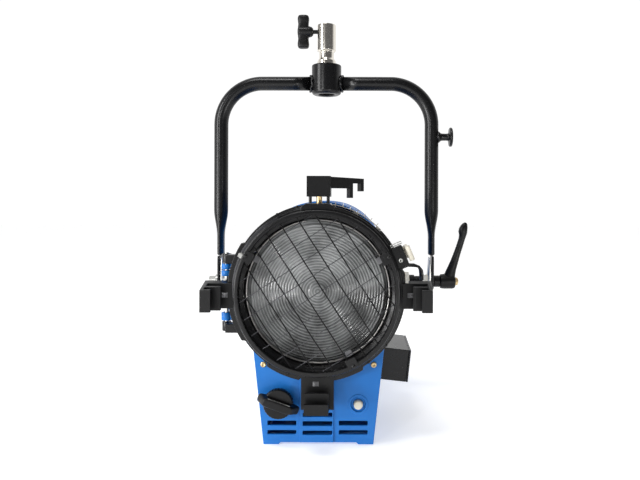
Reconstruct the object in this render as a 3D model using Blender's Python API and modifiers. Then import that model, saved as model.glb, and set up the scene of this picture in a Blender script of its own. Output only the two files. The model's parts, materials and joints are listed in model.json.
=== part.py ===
"""Studio fresnel spotlight: arched housing, hinged lens door, tube yoke, spigot and focus carriage.

Metres, +Z up. The lens faces -Y and +X is to the right of a person who looks at the lens.
The origin lies on the surface that the lamp stands on, straight below the tilt axis.
"""

import math

import bmesh
import bpy
from mathutils import Matrix, Vector

# Driving sizes, in metres ------------------------------------------------------------------
GAP = 0.0003
LENS_Z = 0.189
PIVOT_Z = 0.176

# Housing
BASE_HALF = 0.067
SIDE_SLOPE = 0.1104
ARCH_Z = 0.207
FRONT_Y = -0.173
REAR_Y = 0.150
CASTING_DEEP = 0.023
CASTING_WALL = 0.004
SHEET = 0.002
SEAM_Z = 0.150
VENT_GAP = 0.012
FOOT_INNER = 0.046
FOOT_HIGH = 0.0025
BEAM_R = 0.080
COLUMN_LEFT = -0.023
COLUMN_RIGHT = 0.0185
COLUMN_PROUD = 0.0015

# Lens door
DOOR_REAR_Y = -0.1737
FLANGE_Y = -0.190
FLANGE_R = 0.1047
BUMP_R = 0.108
CUT_R = 0.1017
BEZEL_Y = -0.209
BEZEL_R = 0.0975
LENS_R = 0.0865
LENS_BULGE = 0.0055
GUARD_PITCH = 0.020
GUARD_WIRE = 0.0015
GUARD_TURN = 33.0
GUARD_SHIFT = 0.0078
GUARD_Y = -0.2062
GUARD_R = 0.0912
LENS_SEAT_Y = -0.1815
LENS_FRONT_Y = -0.1868
HINGE_X = -0.113
HINGE_Y = -0.168
PIN_R = 0.0025
KNUCKLE_R = 0.0055
EAR_R = 0.0065

# Top latch
LATCH_Y = -0.168
BOSS_TOP = 0.294
BOSS_LOW = 0.283
LATCH_LOW = 0.302
LATCH_TOP = 0.327
LATCH_HALF = 0.0144
ARM_TURN = 30.0

# Door catch, on a radius of the lens axis
CATCH_TURN = 23.0

# Yoke
YOKE_X = 0.1583
YOKE_TOP_Z = 0.473
YOKE_BEND = 0.0620
TUBE_R = 0.0104
TUBE_END_Z = 0.215
PRESSED_HALF = 0.00575
STRAP_IN = 0.1576
STRAP_OUT = 0.1612
STRAP_HALF = 0.013
COLLAR_R = 0.0222
COLLAR_LOW = 0.4560
COLLAR_TOP = 0.5005
SPIGOT_R = 0.014
SPIGOT_TOP = 0.561
SOCKET_R = 0.0081
CLAMP_Z = 0.551
POST_Z = 0.3930

# Tilt pivot
BOLT_R = 0.00375
BOLT_HOLE_R = 0.0041
TRUNNION_END = 0.118
DISC_END = 0.1243
HUB_IN = 0.1715
HUB_OUT = 0.194
HUB_R = 0.011

# Focus drive
KNOB_X = -0.0474
KNOB_Z = 0.0537
KNOB_TURN = -19.0
ROD_X = 0.0485
ROD_Z = 0.049
ROD_R = 0.0055
SPINDLE_R = 0.004
LAMP_Y = -0.020

# Junction box, in a frame that leans with the right side wall
BOX_FRONT = -0.104
BOX_REAR = -0.014
BOX_LOW = 0.0595
BOX_TOP = 0.102
BOX_MIDDLE = 0.0805
BOX_DEEP = 0.041

MATERIALS = {
    "blue_paint": ((0.03, 0.16, 0.56), 0.38, 0.0),
    "black_paint": ((0.02, 0.02, 0.022), 0.45, 0.0),
    "black_plastic": ((0.025, 0.025, 0.027), 0.55, 0.0),
    "nickel": ((0.72, 0.70, 0.66), 0.25, 1.0),
    "zinc": ((0.65, 0.66, 0.66), 0.40, 1.0),
    "brass": ((0.62, 0.45, 0.22), 0.35, 1.0),
    "steel": ((0.55, 0.55, 0.56), 0.35, 1.0),
    "ivory": ((0.80, 0.76, 0.66), 0.60, 0.0),
    "ceramic": ((0.85, 0.83, 0.78), 0.60, 0.0),
    "lens_glass": ((0.80, 0.84, 0.84), 0.08, 0.0),
    "lamp_glass": ((0.85, 0.87, 0.87), 0.05, 0.0),
    "mirror": ((0.85, 0.85, 0.86), 0.10, 1.0),
}

# Local frames: x and y of an outline, and z of its thickness, as world directions
FRONT = Matrix(((1, 0, 0, 0), (0, 0, -1, 0), (0, 1, 0, 0), (0, 0, 0, 1)))
SIDE = Matrix(((0, 0, 1, 0), (1, 0, 0, 0), (0, 1, 0, 0), (0, 0, 0, 1)))
PLAN = Matrix.Identity(4)
LENS_AXIS = Matrix.Translation((0, 0, LENS_Z)) @ FRONT
PIVOT_AXIS = Matrix.Translation((0, 0, PIVOT_Z)) @ SIDE


# Scene helpers -----------------------------------------------------------------------------
def clear_scene():
    for obj in list(bpy.data.objects):
        bpy.data.objects.remove(obj, do_unlink=True)


def new_collection(name):
    made = bpy.data.collections.new(name)
    bpy.context.scene.collection.children.link(made)
    return made


def new_material(name, colour, roughness, metallic):
    made = bpy.data.materials.new(name)
    made.use_nodes = True
    shader = made.node_tree.nodes["Principled BSDF"]
    shader.inputs["Base Color"].default_value = (*colour, 1.0)
    shader.inputs["Roughness"].default_value = roughness
    shader.inputs["Metallic"].default_value = metallic
    return made


def new_object(name, mesh, frame, material=None):
    """An object of the spotlight, or a hidden cutter when it has no material."""
    obj = bpy.data.objects.new(name, mesh)
    obj.matrix_world = frame
    if material is None:
        CUTTERS.objects.link(obj)
        obj.hide_render = True
        obj.display_type = "WIRE"
    else:
        PARTS.objects.link(obj)
        mesh.materials.append(LOOKS[material])
    return obj


def mesh_of(name, bm, welded=False):
    if welded:
        bmesh.ops.remove_doubles(bm, verts=bm.verts, dist=0.00001)
    bmesh.ops.recalc_face_normals(bm, faces=bm.faces)
    mesh = bpy.data.meshes.new(name)
    bm.to_mesh(mesh)
    bm.free()
    return mesh


def smooth(obj, angle=35.0):
    obj.data.shade_smooth()
    obj.data.set_sharp_from_angle(angle=math.radians(angle))
    return obj


def mesh_from_curve(name, curve, frame, material):
    """The curve's solid as a mesh object, with its caps welded on."""
    guide = bpy.data.objects.new(name + "_curve", curve)
    PARTS.objects.link(guide)
    evaluated = guide.evaluated_get(bpy.context.evaluated_depsgraph_get())
    raw = bpy.data.meshes.new_from_object(evaluated)
    bm = bmesh.new()
    bm.from_mesh(raw)
    bpy.data.objects.remove(guide, do_unlink=True)
    return new_object(name, mesh_of(name, bm, welded=True), frame, material)


def prism(name, loops, low, high, frame, material=None):
    """A flat outline, with any holes as further loops, thickened from low to high."""
    curve = bpy.data.curves.new(name, "CURVE")
    curve.dimensions = "2D"
    curve.fill_mode = "BOTH"
    curve.extrude = (high - low) / 2
    for loop in loops:
        spline = curve.splines.new("POLY")
        spline.points.add(len(loop) - 1)
        for point, (x, y) in zip(spline.points, loop):
            point.co = (x, y, 0, 1)
        spline.use_cyclic_u = True
    middle = frame @ Matrix.Translation((0, 0, (low + high) / 2))
    return mesh_from_curve(name, curve, middle, material)


def tube(name, points, radius, frame, material=None, sides=2):
    """A round bar along the points, with 4 + 2 * sides facets."""
    curve = bpy.data.curves.new(name, "CURVE")
    curve.dimensions = "3D"
    curve.bevel_depth = radius
    curve.bevel_resolution = sides
    curve.use_fill_caps = True
    spline = curve.splines.new("POLY")
    spline.points.add(len(points) - 1)
    for point, place in zip(spline.points, points):
        point.co = (*place, 1)
    return smooth(mesh_from_curve(name, curve, frame, material))


def box(name, low, high, material=None, frame=PLAN):
    low = Vector(low)
    high = Vector(high)
    bm = bmesh.new()
    bmesh.ops.create_cube(bm, size=1.0)
    bmesh.ops.scale(bm, vec=high - low, verts=bm.verts)
    place = frame @ Matrix.Translation((low + high) / 2)
    return new_object(name, mesh_of(name, bm), place, material)


def cylinder(name, radius, low, high, frame, material=None, sides=20, top_radius=None):
    """A round bar or cone along local z, from low to high."""
    bm = bmesh.new()
    bmesh.ops.create_cone(
        bm,
        cap_ends=True,
        segments=sides,
        radius1=radius,
        radius2=radius if top_radius is None else top_radius,
        depth=high - low,
    )
    place = frame @ Matrix.Translation((0, 0, (low + high) / 2))
    return smooth(new_object(name, mesh_of(name, bm), place, material))


def turned(name, profile, frame, material=None, sides=24, closed=False):
    """A solid of revolution about local z. The profile of (radius, height) runs down its outer side."""
    mesh = bpy.data.meshes.new(name)
    points = [(radius, 0, height) for radius, height in profile]
    edges = [(i, i + 1) for i in range(len(points) - 1)]
    if closed:
        edges.append((len(points) - 1, 0))
    mesh.from_pydata(points, edges, [])
    obj = new_object(name, mesh, frame, material)
    screw = obj.modifiers.new("turn", "SCREW")
    screw.axis = "Z"
    screw.steps = sides
    screw.render_steps = sides
    screw.use_merge_vertices = True
    screw.merge_threshold = 0.00001
    screw.use_smooth_shade = False
    return obj


def boolean(obj, other, operation):
    made = obj.modifiers.new(operation.lower(), "BOOLEAN")
    made.operation = operation
    made.solver = "EXACT"
    made.object = other
    return obj


def cut(obj, *cutters):
    for cutter in cutters:
        boolean(obj, cutter, "DIFFERENCE")
    return obj


def join(obj, *others):
    for other in others:
        boolean(obj, other, "UNION")
    return obj


def bevel(obj, width, angle=40.0):
    made = obj.modifiers.new("edge", "BEVEL")
    made.width = width
    made.segments = 1
    made.limit_method = "ANGLE"
    made.angle_limit = math.radians(angle)
    return obj


def hang_on(axis, *objects):
    """Parents the objects to the empty on their joint's axis."""
    for obj in objects:
        place = obj.matrix_world.copy()
        obj.parent = axis
        obj.matrix_parent_inverse = axis.matrix_world.inverted()
        obj.matrix_world = place


def joint_axis(name, place):
    empty = bpy.data.objects.new(name, None)
    empty.matrix_world = Matrix.Translation(place)
    PARTS.objects.link(empty)
    bpy.context.view_layer.update()
    return empty


# Outlines ----------------------------------------------------------------------------------
def circle(radius, centre=(0.0, 0.0), sides=24, start=0.0):
    turns = [start + 2 * math.pi * i / sides for i in range(sides)]
    return [(centre[0] + radius * math.cos(t), centre[1] + radius * math.sin(t)) for t in turns]


def rectangle(left, right, low, high):
    return [(left, low), (right, low), (right, high), (left, high)]


def half_width(z):
    return BASE_HALF + SIDE_SLOPE * z


def arch(centre_z, inset, sides=20):
    """Points of the top arc, right to left, tangent to the leaning sides and moved in by inset."""
    lean = math.atan(SIDE_SLOPE)
    radius = half_width(centre_z) * math.cos(lean) - inset
    turns = [-lean + (math.pi + 2 * lean) * i / sides for i in range(sides + 1)]
    return [(radius * math.cos(t), centre_z + radius * math.sin(t)) for t in turns]


def side_x(z, inset):
    return half_width(z) - inset / math.cos(math.atan(SIDE_SLOPE))


def casting_outline(centre_z):
    """The end castings' outline: two feet with a notch between them, leaning sides and an arch."""
    slope = 0.002
    notch = [
        (-FOOT_INNER, FOOT_HIGH),
        (-FOOT_INNER - slope, 0),
        (-BASE_HALF, 0),
    ]
    other = [(BASE_HALF, 0), (FOOT_INNER + slope, 0), (FOOT_INNER, FOOT_HIGH)]
    return arch(centre_z, 0) + [notch[2], notch[1], notch[0]] + [other[2], other[1], other[0]]


def inner_outline(centre_z, inset, low):
    edge = side_x(low, inset)
    return arch(centre_z, inset) + [(-edge, low), (edge, low)]


# Housing -----------------------------------------------------------------------------------
def vent_slots():
    """The front panel's slots: two rows across, and a third slot in the middle column."""
    rows = ((0.0124, 0.0173), (0.0233, 0.0288))
    columns = ((-0.062, -0.027), (-0.019, 0.017), (0.025, 0.060))
    found = [rectangle(left, right, *row) for left, right in columns for row in rows]
    found.append(rectangle(-0.019, 0.017, 0.0343, 0.0392))
    return found


def casting(name, centre_z, holes):
    """An end casting: a plate with a rim around it, drawn with its depth counted from the rim's edge."""
    obj = prism(name, [casting_outline(centre_z)] + holes, 0, CASTING_DEEP, FRONT, "blue_paint")
    pocket = inner_outline(centre_z, CASTING_WALL, 0.0065)
    return cut(obj, prism(name + "_pocket", [pocket], -0.01, CASTING_DEEP - CASTING_WALL, FRONT))


def front_casting():
    holes = [circle(BEAM_R, (0, LENS_Z), 40)]
    holes.append(circle(SPINDLE_R + GAP, (KNOB_X, KNOB_Z), 12))
    holes.append(circle(ROD_R + GAP, (ROD_X, ROD_Z), 16))
    obj = casting("front_casting", LENS_Z, holes)
    shift = Matrix.Translation((0, FRONT_Y + CASTING_DEEP, 0))
    for piece in (obj, bpy.data.objects["front_casting_pocket"]):
        piece.matrix_world = shift @ piece.matrix_world
    column_loop = rectangle(COLUMN_LEFT, COLUMN_RIGHT, FOOT_HIGH + GAP, 0.078)
    column = prism("front_column", [column_loop], -FRONT_Y - 0.001, -FRONT_Y + COLUMN_PROUD, FRONT)
    hinge_way = Matrix.Translation((HINGE_X, HINGE_Y, 0))
    join(obj, column)
    for name, low, high in (("upper", 0.205, 0.2195), ("lower", 0.1510, 0.1600)):
        join(
            obj,
            box("ear_" + name, (HINGE_X, HINGE_Y - 0.0043, low), (-0.0835, HINGE_Y + 0.0060, high)),
            cylinder("ear_round_" + name, EAR_R, low + GAP, high - GAP, hinge_way, sides=14),
        )
    for i, slot in enumerate(vent_slots()):
        cut(obj, prism(f"front_slot_{i}", [slot], -FRONT_Y - 0.008, -FRONT_Y + 0.008, FRONT))
    cut(obj, cylinder("ear_bore", PIN_R + GAP, 0.140, 0.230, hinge_way, sides=12))
    recess = Matrix.Translation((ROD_X, 0, ROD_Z)) @ FRONT
    cut(obj, cylinder("rod_recess", 0.0106, -FRONT_Y - 0.0015, -FRONT_Y + 0.01, recess))
    return obj


def rear_casting():
    """The rear end, turned half round so that its plate faces the rear."""
    slots = [rectangle(-0.045, 0.045, z, z + 0.006) for z in (0.016, 0.028, 0.232, 0.246, 0.260)]
    obj = casting("rear_casting", ARCH_Z, slots)
    pocket = bpy.data.objects["rear_casting_pocket"]
    turn = Matrix.Translation((0, REAR_Y - CASTING_DEEP, 0)) @ Matrix.Rotation(math.pi, 4, "Z")
    for piece in (obj, pocket):
        piece.matrix_world = turn @ piece.matrix_world
    return obj


def side_panel(side):
    low = 0.003
    high = SEAM_Z - GAP
    strip = [
        (side_x(low, 0), low),
        (side_x(high, 0), high),
        (side_x(high, SHEET), high),
        (side_x(low, SHEET), low),
    ]
    loop = [(side * x, z) for x, z in strip]
    front = -FRONT_Y - CASTING_DEEP - GAP
    rear = -(REAR_Y - CASTING_DEEP - GAP)
    name = "side_panel_right" if side > 0 else "side_panel_left"
    obj = prism(name, [loop], rear, front, FRONT, "blue_paint")
    for i in range(3):
        low_z = 0.014 + 0.012 * i
        way = (side * 0.04, 0.020, low_z), (side * 0.10, 0.100, low_z + 0.005)
        lows = [min(pair) for pair in zip(*way)]
        highs = [max(pair) for pair in zip(*way)]
        cut(obj, box(f"{name}_slot_{i}", lows, highs))
    return obj


def top_cover():
    outer = arch(ARCH_Z, 0)
    inner = arch(ARCH_Z, SHEET)
    foot = [(side_x(SEAM_Z, 0), SEAM_Z), (side_x(SEAM_Z, SHEET), SEAM_Z)]
    left_foot = [(-foot[0][0], SEAM_Z), (-foot[1][0], SEAM_Z)]
    loop = [foot[0]] + outer + left_foot + inner[::-1] + [foot[1]]
    front = -FRONT_Y - CASTING_DEEP - VENT_GAP
    rear = -(REAR_Y - CASTING_DEEP - GAP)
    return smooth(prism("top_cover", [loop], rear, front, FRONT, "blue_paint"))


def vent_baffle():
    inset = 0.006
    outer = arch(ARCH_Z, inset)[2:-2]
    inner = arch(ARCH_Z, inset + 0.0015)[2:-2]
    front = -FRONT_Y - CASTING_DEEP - 0.001
    return prism("vent_baffle", [outer + inner[::-1]], front - 0.026, front, FRONT, "black_paint")


def bottom_plate():
    half = side_x(0.003, SHEET) - GAP
    front = FRONT_Y + CASTING_DEEP + GAP
    rear = REAR_Y - CASTING_DEEP - GAP
    slots = [rectangle(side - 0.018, side + 0.018, y, y + 0.006)
             for side in (-0.036, 0.036) for y in (-0.10, -0.06, 0.05, 0.09)]
    loops = [rectangle(-half, half, front, rear)] + slots
    return prism("bottom_plate", loops, FOOT_HIGH, FOOT_HIGH + SHEET, PLAN, "blue_paint")


def rear_support():
    """The sheet that carries the rear ends of the spindle and the guide rod."""
    loops = [
        rectangle(-0.060, 0.060, FOOT_HIGH + SHEET + GAP, 0.066),
        circle(SPINDLE_R + GAP, (KNOB_X, KNOB_Z), 12),
        circle(ROD_R + GAP, (ROD_X, ROD_Z), 16),
    ]
    return prism("rear_support", loops, -0.1195, -0.1165, FRONT, "steel")


def guide_rod():
    way = Matrix.Translation((ROD_X, 0, ROD_Z)) @ FRONT
    return bevel(cylinder("guide_rod", ROD_R, -0.1225, 0.1775, way, "ivory", 16), 0.0008)


def front_screw(side):
    z = 0.0975
    x = side * 0.0672
    way = Matrix.Translation((x, 0, z)) @ FRONT
    name = "front_screw_right" if side > 0 else "front_screw_left"
    obj = cylinder(name, 0.0034, -FRONT_Y + GAP, -FRONT_Y + 0.0018, way, "brass", 12)
    return cut(obj, cylinder(name + "_hex", 0.0016, -FRONT_Y + 0.0010, 0.18, way, sides=6))


def junction_box():
    """The connection box, its lid, gland and screw, on the right side wall."""
    lean = Matrix.Rotation(math.atan(SIDE_SLOPE), 4, "Y")
    foot = Vector((half_width(BOX_MIDDLE) + GAP, 0, BOX_MIDDLE))
    frame = Matrix.Translation(foot) @ lean
    low = BOX_LOW - BOX_MIDDLE
    high = BOX_TOP - BOX_MIDDLE
    shell = box("junction_box", (0, BOX_FRONT, low), (BOX_DEEP - 0.003, BOX_REAR, high), "black_paint", frame)
    wall = 0.002
    inside = box(
        "junction_hollow",
        (wall, BOX_FRONT + wall, low + wall),
        (BOX_DEEP, BOX_REAR - wall, high - wall),
        frame=frame,
    )
    gland_way = frame @ Matrix.Translation((0.018, 0, 0)) @ FRONT
    cut(shell, inside, cylinder("gland_hole", 0.0072, 0.010, 0.020, gland_way, sides=16))
    lid = box(
        "junction_lid",
        (BOX_DEEP - 0.003 + GAP, BOX_FRONT, low),
        (BOX_DEEP, BOX_REAR, high),
        "black_paint",
        frame,
    )
    screw_way = frame @ Matrix.Translation((0, -0.059, 0.003)) @ SIDE
    screw = cylinder("lid_screw", 0.003, BOX_DEEP + GAP, BOX_DEEP + 0.0025, screw_way, "black_plastic", 12)
    end = -BOX_REAR
    bore = 0.0045
    gland = turned(
        "cable_gland",
        [
            (bore, end + 0.006),
            (0.0068, end + 0.006),
            (0.0068, end - GAP),
            (0.0100, end - GAP),
            (0.0100, end - 0.006),
            (0.0070, end - 0.006),
            (0.0070, end - 0.012),
            (bore, end - 0.012),
        ],
        gland_way,
        "black_plastic",
        16,
        closed=True,
    )
    nut = turned(
        "gland_nut",
        [
            (0.0072, end - 0.0063),
            (0.0095, end - 0.0063),
            (0.0095, end - 0.014),
            (0.0070, end - 0.018),
            (bore, end - 0.018),
            (bore, end - 0.0123),
            (0.0072, end - 0.0123),
        ],
        gland_way,
        "black_plastic",
        16,
        closed=True,
    )
    return [shell, lid, screw, gland, nut]


# Tilt pivot --------------------------------------------------------------------------------
def pivot_side(side):
    """Trunnion, friction disc and bolt on one side; mirrored for the left."""
    right = side > 0
    end = "right" if right else "left"
    turn = Matrix.Rotation(math.pi, 4, "Z")
    frame = Matrix.Translation((0, 0, PIVOT_Z)) @ (SIDE if right else turn @ SIDE)
    trunnion = turned(
        f"trunnion_{end}",
        [
            (0, TRUNNION_END - 0.020),
            (BOLT_HOLE_R, TRUNNION_END - 0.020),
            (BOLT_HOLE_R, TRUNNION_END),
            (0.0150, TRUNNION_END),
            (0.0160, TRUNNION_END - 0.001),
            (0.0170, 0.096),
            (0.0210, 0.094),
            (0.0210, 0.080),
            (0, 0.080),
        ],
        frame,
        "black_paint",
        24,
    )
    wall = prism(f"wall_{end}", [inner_outline(ARCH_Z, -GAP, 0.1)], -0.06, 0.06, FRONT)
    cut(trunnion, wall)
    disc = turned(
        f"friction_disc_{end}",
        [
            (BOLT_HOLE_R, DISC_END),
            (0.0140, DISC_END),
            (0.0140, TRUNNION_END + GAP),
            (BOLT_HOLE_R, TRUNNION_END + GAP),
        ],
        frame,
        "ivory",
        20,
        closed=True,
    )
    bolt_end = 0.199 if right else 0.1663
    bolt = cylinder(f"pivot_bolt_{end}", BOLT_R, 0.100, bolt_end, frame, "brass" if right else "zinc", 12)
    if not right:
        join(bolt, cylinder("bolt_head", 0.0075, 0.1660, 0.1755, frame, sides=6))
    outer = HUB_IN - GAP if right else 0.1657
    name = "pivot_spacer" if right else "pivot_washer"
    radius = 0.0085 if right else 0.0095
    spacer = turned(
        name,
        [
            (BOLT_HOLE_R, outer),
            (radius, outer),
            (radius, STRAP_OUT + GAP),
            (BOLT_HOLE_R, STRAP_OUT + GAP),
        ],
        frame,
        "black_plastic" if right else "zinc",
        16,
        closed=True,
    )
    return [trunnion, disc, bolt, spacer]


def tilt_lever():
    """The clamping lever: a threaded insert and the handle that lifts off its teeth."""
    insert = turned(
        "lever_insert",
        [
            (BOLT_HOLE_R, HUB_IN + 0.011),
            (0.0068, HUB_IN + 0.011),
            (0.0068, HUB_IN),
            (BOLT_HOLE_R, HUB_IN),
        ],
        PIVOT_AXIS,
        "steel",
        14,
        closed=True,
    )
    handle = turned(
        "lever_handle",
        [
            (BOLT_HOLE_R, HUB_OUT),
            (HUB_R - 0.0015, HUB_OUT),
            (HUB_R, HUB_OUT - 0.002),
            (HUB_R, HUB_IN),
            (0.0072, HUB_IN),
            (0.0072, HUB_IN + 0.0113),
            (BOLT_HOLE_R, HUB_IN + 0.0113),
        ],
        PIVOT_AXIS,
        "black_plastic",
        20,
        closed=True,
    )
    arm = tube(
        "lever_arm",
        [
            (0.1840, 0, PIVOT_Z + 0.0095),
            (0.1875, 0, PIVOT_Z + 0.024),
            (0.1990, 0, PIVOT_Z + 0.056),
            (0.2060, 0, PIVOT_Z + 0.080),
            (0.2085, 0, PIVOT_Z + 0.089),
        ],
        0.0058,
        PLAN,
        sides=2,
    )
    join(handle, arm)
    return [insert], [handle]


# Yoke --------------------------------------------------------------------------------------
def yoke_path():
    """Centre line of the right tube, from the collar over the bend and down the leg."""
    points = [(COLLAR_R + GAP, 0, YOKE_TOP_Z)]
    centre = (YOKE_X - YOKE_BEND, YOKE_TOP_Z - YOKE_BEND)
    for i in range(9):
        turn = math.pi / 2 * (1 - i / 8)
        points.append((centre[0] + YOKE_BEND * math.cos(turn), 0, centre[1] + YOKE_BEND * math.sin(turn)))
    for z in (0.285, 0.272, 0.259, 0.246, 0.233, TUBE_END_Z):
        points.append((YOKE_X, 0, z))
    return points


def press_end(mesh):
    """Flattens the leg's lower end: thinner from side to side and wider from front to back."""
    for vertex in mesh.vertices:
        along = min(1.0, max(0.0, (0.285 - vertex.co.z) / 0.045))
        amount = along * along * (3 - 2 * along)
        thin = 1 + (PRESSED_HALF / TUBE_R - 1) * amount
        vertex.co.x = YOKE_X + (vertex.co.x - YOKE_X) * thin if vertex.co.z < 0.3 else vertex.co.x
        vertex.co.y *= 1 + 0.22 * amount


def yoke_side(side):
    end = "right" if side > 0 else "left"
    leg = tube(f"yoke_tube_{end}", yoke_path(), TUBE_R, PLAN, "black_paint", 4)
    press_end(leg.data)
    outline = [(STRAP_HALF * math.cos(t), PIVOT_Z + STRAP_HALF * math.sin(t))
               for t in [math.pi + math.pi * i / 10 for i in range(11)]]
    outline += [(STRAP_HALF, TUBE_END_Z - 0.006), (0.011, TUBE_END_Z - GAP)]
    outline += [(-0.011, TUBE_END_Z - GAP), (-STRAP_HALF, TUBE_END_Z - 0.006)]
    loops = [outline, circle(BOLT_HOLE_R, (0, PIVOT_Z), 12)]
    strap = prism(f"yoke_strap_{end}", loops, STRAP_IN, STRAP_OUT, SIDE, "black_paint")
    sleeve = turned(
        f"pivot_sleeve_{end}",
        [
            (BOLT_HOLE_R, STRAP_IN - GAP),
            (0.0085, STRAP_IN - GAP),
            (0.0085, DISC_END + GAP),
            (BOLT_HOLE_R, DISC_END + GAP),
        ],
        PIVOT_AXIS,
        "zinc",
        16,
        closed=True,
    )
    if side < 0:
        for obj in (leg, strap, sleeve):
            turn_about_x0(obj)
    return [leg, strap, sleeve]


def turn_about_x0(obj):
    """Half a turn about the spigot's axis, which carries a right piece to the left."""
    obj.matrix_world = Matrix.Rotation(math.pi, 4, "Z") @ obj.matrix_world


def collar():
    return turned(
        "yoke_collar",
        [
            (SPIGOT_R + GAP, COLLAR_TOP),
            (COLLAR_R - 0.001, COLLAR_TOP),
            (COLLAR_R, COLLAR_TOP - 0.001),
            (COLLAR_R, COLLAR_LOW + 0.004),
            (COLLAR_R - 0.003, COLLAR_LOW),
            (SPIGOT_R + GAP, COLLAR_LOW),
        ],
        PLAN,
        "black_paint",
        28,
        closed=True,
    )


def spigot():
    obj = turned(
        "spigot",
        [
            (0, 0.5225),
            (SOCKET_R, 0.5225),
            (SOCKET_R, SPIGOT_TOP),
            (SPIGOT_R - 0.001, SPIGOT_TOP),
            (SPIGOT_R, SPIGOT_TOP - 0.001),
            (SPIGOT_R, 0.5215),
            (0.0112, 0.5200),
            (0.0112, 0.5105),
            (SPIGOT_R, 0.5060),
            (SPIGOT_R, 0.478),
            (0, 0.478),
        ],
        PLAN,
        "nickel",
        28,
    )
    way = Matrix.Translation((0, 0, CLAMP_Z)) @ SIDE
    return cut(obj, cylinder("clamp_hole", 0.0033, -0.018, -0.004, way, sides=10))


def spigot_bolt():
    """The screw that holds the spigot in the collar, reached through the collar's open lower end."""
    obj = cylinder("spigot_bolt", 0.0095, 0.4697, 0.4777, PLAN, "zinc", 12)
    return cut(obj, cylinder("bolt_hex", 0.0045, 0.460, 0.474, PLAN, sides=6))


def safety_post():
    way = Matrix.Translation((0, 0, POST_Z)) @ SIDE
    near = YOKE_X + TUBE_R + GAP
    return turned(
        "safety_post",
        [
            (0, 0.189),
            (0.0140, 0.189),
            (0.0145, 0.188),
            (0.0145, 0.1848),
            (0.0060, 0.1838),
            (0.0060, near + 0.002),
            (0.0075, near),
            (0, near),
        ],
        way,
        "black_paint",
        20,
    )


def wing_screw():
    """The winged clamp screw, and the pad that it drives into the spigot's socket."""
    way = Matrix.Translation((0, 0, CLAMP_Z)) @ SIDE
    stem = turned(
        "wing_screw",
        [
            (0, -0.0092),
            (0.0030, -0.0092),
            (0.0030, -0.0200),
            (0.0065, -0.0205),
            (0.0085, -0.0265),
            (0.0085, -0.0400),
            (0.0070, -0.0415),
            (0, -0.0415),
        ],
        way,
        "black_plastic",
        14,
    )
    half_long = 0.0255
    wing = [
        (0.0070, -half_long), (0.0080, -0.0180), (0.0060, -0.0100), (0.0060, 0.0100),
        (0.0080, 0.0180), (0.0070, half_long), (-0.0070, half_long), (-0.0080, 0.0180),
        (-0.0060, 0.0100), (-0.0060, -0.0100), (-0.0080, -0.0180), (-0.0070, -half_long),
    ]
    join(stem, prism("wings", [wing], -0.0395, -0.0255, way))
    pad = cylinder("clamp_pad", 0.0026, -0.0089, -0.0077, way, "brass", 10)
    return [stem], [pad]


# Focus drive -------------------------------------------------------------------------------
def focus_knob():
    way = Matrix.Translation((KNOB_X, 0, KNOB_Z)) @ FRONT
    disc = turned(
        "focus_knob",
        [
            (0, 0.1895),
            (0.0163, 0.1895),
            (0.0183, 0.1878),
            (0.0183, 0.1825),
            (0.0120, 0.1775),
            (0.0120, 0.1748),
            (0, 0.1748),
        ],
        way,
        "black_plastic",
        24,
    )
    tilt = way @ Matrix.Rotation(math.radians(KNOB_TURN), 4, "Z")
    grip = [
        (-0.0262, 0.1855), (-0.0257, 0.1868), (-0.0240, 0.1885), (-0.0185, 0.1975),
        (0.0185, 0.1975), (0.0240, 0.1885), (0.0257, 0.1868), (0.0262, 0.1855),
    ]
    upright = tilt @ FRONT
    join(disc, prism("knob_grip", [grip], -0.0062, 0.0062, upright))
    cut(disc, cylinder("knob_bore", SPINDLE_R + GAP, 0.170, 0.1880, way, sides=12))
    spindle = cylinder("focus_spindle", SPINDLE_R, -0.1225, 0.1872, way, "steel", 12)
    return [disc, spindle]


def lamp_carriage():
    near = -LAMP_Y
    loops = [
        rectangle(-0.058, 0.058, 0.036, 0.066),
        circle(SPINDLE_R + GAP, (KNOB_X, KNOB_Z), 12),
        circle(ROD_R + GAP, (ROD_X, ROD_Z), 16),
    ]
    slide = prism("lamp_carriage", loops, near - 0.020, near + 0.020, FRONT, "steel")
    column = box("carriage_column", (-0.017, -near - 0.012, 0.060), (0.017, -near + 0.024, 0.1350))
    join(slide, column)
    socket = box("lamp_socket", (-0.016, -near - 0.0118, 0.1353), (0.016, -near + 0.0118, 0.160), "ceramic")
    lamp_way = Matrix.Translation((0, LAMP_Y, 0))
    bulb = turned(
        "halogen_lamp",
        [
            (0, 0.222),
            (0.0040, 0.2205),
            (0.0090, 0.2140),
            (0.0115, 0.2060),
            (0.0115, 0.1700),
            (0.0085, 0.1660),
            (0.0085, 0.1603),
            (0, 0.1603),
        ],
        lamp_way,
        "lamp_glass",
        16,
    )
    mirror_way = Matrix.Translation((0, LAMP_Y, LENS_Z)) @ FRONT
    turns = [math.radians(70 * i / 7) for i in range(8)]
    inner = [(0.0550 * math.sin(t), -0.0550 * math.cos(t)) for t in turns]
    outer = [(0.0565 * math.sin(t), -0.0565 * math.cos(t)) for t in turns]
    bowl = turned("reflector", inner + outer[::-1], mirror_way, "mirror", 24)
    return [slide, socket, bulb, smooth(bowl)]


# Lens door ---------------------------------------------------------------------------------
def flange_outline(sides=72):
    """The door flange: round, with three raised stretches of rim."""
    raised = ((148, 213), (236, 258), (280, 300))
    points = []
    for i in range(sides):
        degrees = 360 * i / sides
        radius = BUMP_R if any(low <= degrees <= high for low, high in raised) else FLANGE_R
        radius = CUT_R if 45 <= degrees <= 78 else radius
        turn = math.radians(degrees)
        points.append((radius * math.cos(turn), radius * math.sin(turn)))
    return points


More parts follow.
